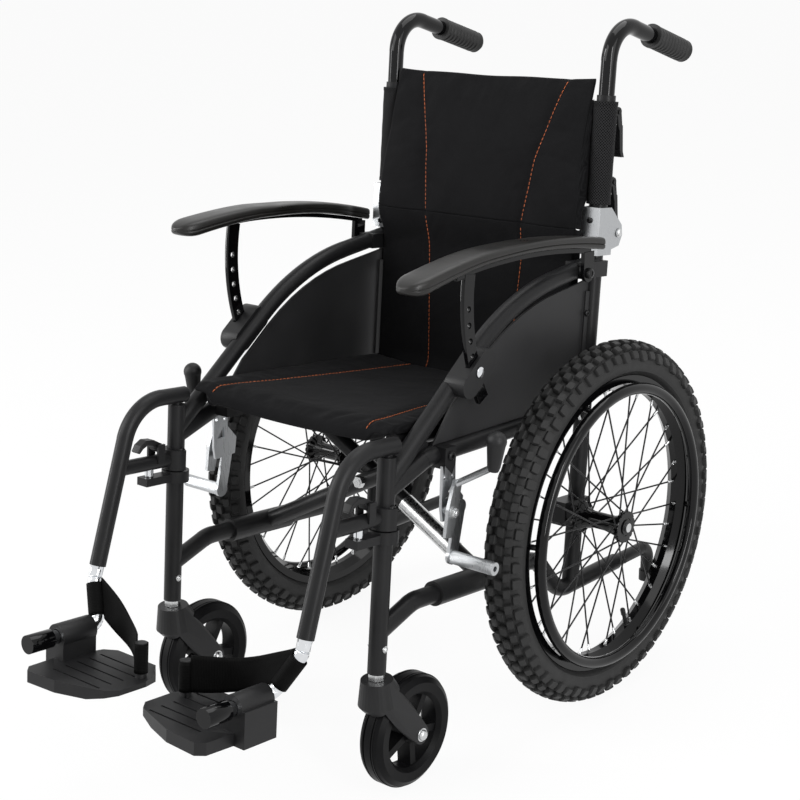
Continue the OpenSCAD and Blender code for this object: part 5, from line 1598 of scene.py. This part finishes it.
class WHEELCHAIR_OT_stage(bpy.types.Operator):
    """Set up the floor, the soft lights and the camera at the photograph's viewing angle"""

    bl_idname = "wheelchair.stage"
    bl_label = "Studio stage"

    def execute(self, context):
        scene = context.scene
        studio = scene.chair_studio
        scene.view_settings.view_transform = "Standard"

        shape = Shape()
        lines = np.linspace(-FLOOR_HALF, FLOOR_HALF, FLOOR_LINES)
        shape.points = [(x, y, -0.0002) for y in lines for x in lines]
        shape.faces = grid_faces(FLOOR_LINES, FLOOR_LINES)
        floor = shape.piece("studio_floor", "studio_floor")

        world = bpy.data.worlds.new("white_room")
        scene.world = world
        world.use_nodes = True
        tree = world.node_tree
        tree.nodes.clear()
        strength = add_node(tree, "ShaderNodeMapRange", {
            "Value": white_rays(tree), "To Min": 0.45, "To Max": 1.0})
        sky = add_node(tree, "ShaderNodeBackground", {
            "Color": (1, 1, 1, 1), "Strength": strength.outputs["Result"]})
        add_node(tree, "ShaderNodeOutputWorld", {"Surface": sky.outputs["Background"]})

        for name, spot, size, power in LAMPS:
            data = bpy.data.lights.new(name, "AREA")
            data.shape = "RECTANGLE"
            data.size, data.size_y = size
            data.energy = getattr(studio, power)
            lamp = bpy.data.objects.new(name, data)
            lamp.location = spot
            lamp.rotation_euler = (LAMP_AIM - Vector(spot)).to_track_quat("-Z", "Y").to_euler()
            scene.collection.objects.link(lamp)

        eye = Vector((EYE[0], EYE[1] + AXLE_Y, EYE[2]))
        target = Vector((TARGET[0], TARGET[1] + AXLE_Y, TARGET[2]))
        back = (eye - target).normalized()
        right = Vector((0, 0, 1)).cross(back).normalized()
        up = back.cross(right)
        across = math.cos(ROLL) * right + math.sin(ROLL) * up
        upward = math.cos(ROLL) * up - math.sin(ROLL) * right
        data = bpy.data.cameras.new("camera")
        data.sensor_width = 36
        data.lens = studio.lens
        data.clip_end = 200
        camera = bpy.data.objects.new("camera", data)
        camera.matrix_world = Matrix((across, upward, back)).transposed().to_4x4()
        camera.location = eye
        scene.collection.objects.link(camera)
        scene.camera = camera
        return {"FINISHED"}


class WHEELCHAIR_PT_panel(bpy.types.Panel):
    """Pieces of the wheelchair and their sizes"""

    bl_label = "Folding wheelchair"
    bl_idname = "WHEELCHAIR_PT_panel"
    bl_space_type = "VIEW_3D"
    bl_region_type = "UI"
    bl_category = "Wheelchair"

    def draw(self, context):
        for name, group in GROUPS:
            box = self.layout.box()
            for key in group.__annotations__:
                box.prop(getattr(context.scene, name), key)
        for operator in OPERATORS:
            self.layout.operator(operator.bl_idname)


GROUPS = (("chair_colours", ChairColours), ("chair_tyres", TyreSizes), ("chair_covers", CoverSizes),
          ("chair_studio", StudioSettings))
OPERATORS = (
    WHEELCHAIR_OT_stage, WHEELCHAIR_OT_finishes, WHEELCHAIR_OT_tyres, WHEELCHAIR_OT_wheel_fittings,
    WHEELCHAIR_OT_arm_pads, WHEELCHAIR_OT_seat_cover, WHEELCHAIR_OT_back_cover, WHEELCHAIR_OT_side_flaps,
    WHEELCHAIR_OT_cane_sleeves, WHEELCHAIR_OT_heel_straps, WHEELCHAIR_OT_fasteners)


def register():
    for name, group in GROUPS:
        bpy.utils.register_class(group)
        setattr(bpy.types.Scene, name, bpy.props.PointerProperty(type=group))
    for kind in OPERATORS + (WHEELCHAIR_PT_panel,):
        bpy.utils.register_class(kind)


def unregister():
    for kind in (WHEELCHAIR_PT_panel,) + OPERATORS[::-1]:
        bpy.utils.unregister_class(kind)
    for name, group in GROUPS[::-1]:
        delattr(bpy.types.Scene, name)
        bpy.utils.unregister_class(group)


def main():
    register()
    bpy.ops.wheelchair.stage()
    bpy.ops.wheelchair.finishes()
    bpy.ops.wheelchair.tyres()
    bpy.ops.wheelchair.wheel_fittings()
    bpy.ops.wheelchair.arm_pads()
    bpy.ops.wheelchair.seat_cover()
    bpy.ops.wheelchair.back_cover()
    bpy.ops.wheelchair.side_flaps()
    bpy.ops.wheelchair.cane_sleeves()
    bpy.ops.wheelchair.heel_straps()
    bpy.ops.wheelchair.fasteners()


if __name__ == "__main__":
    main()
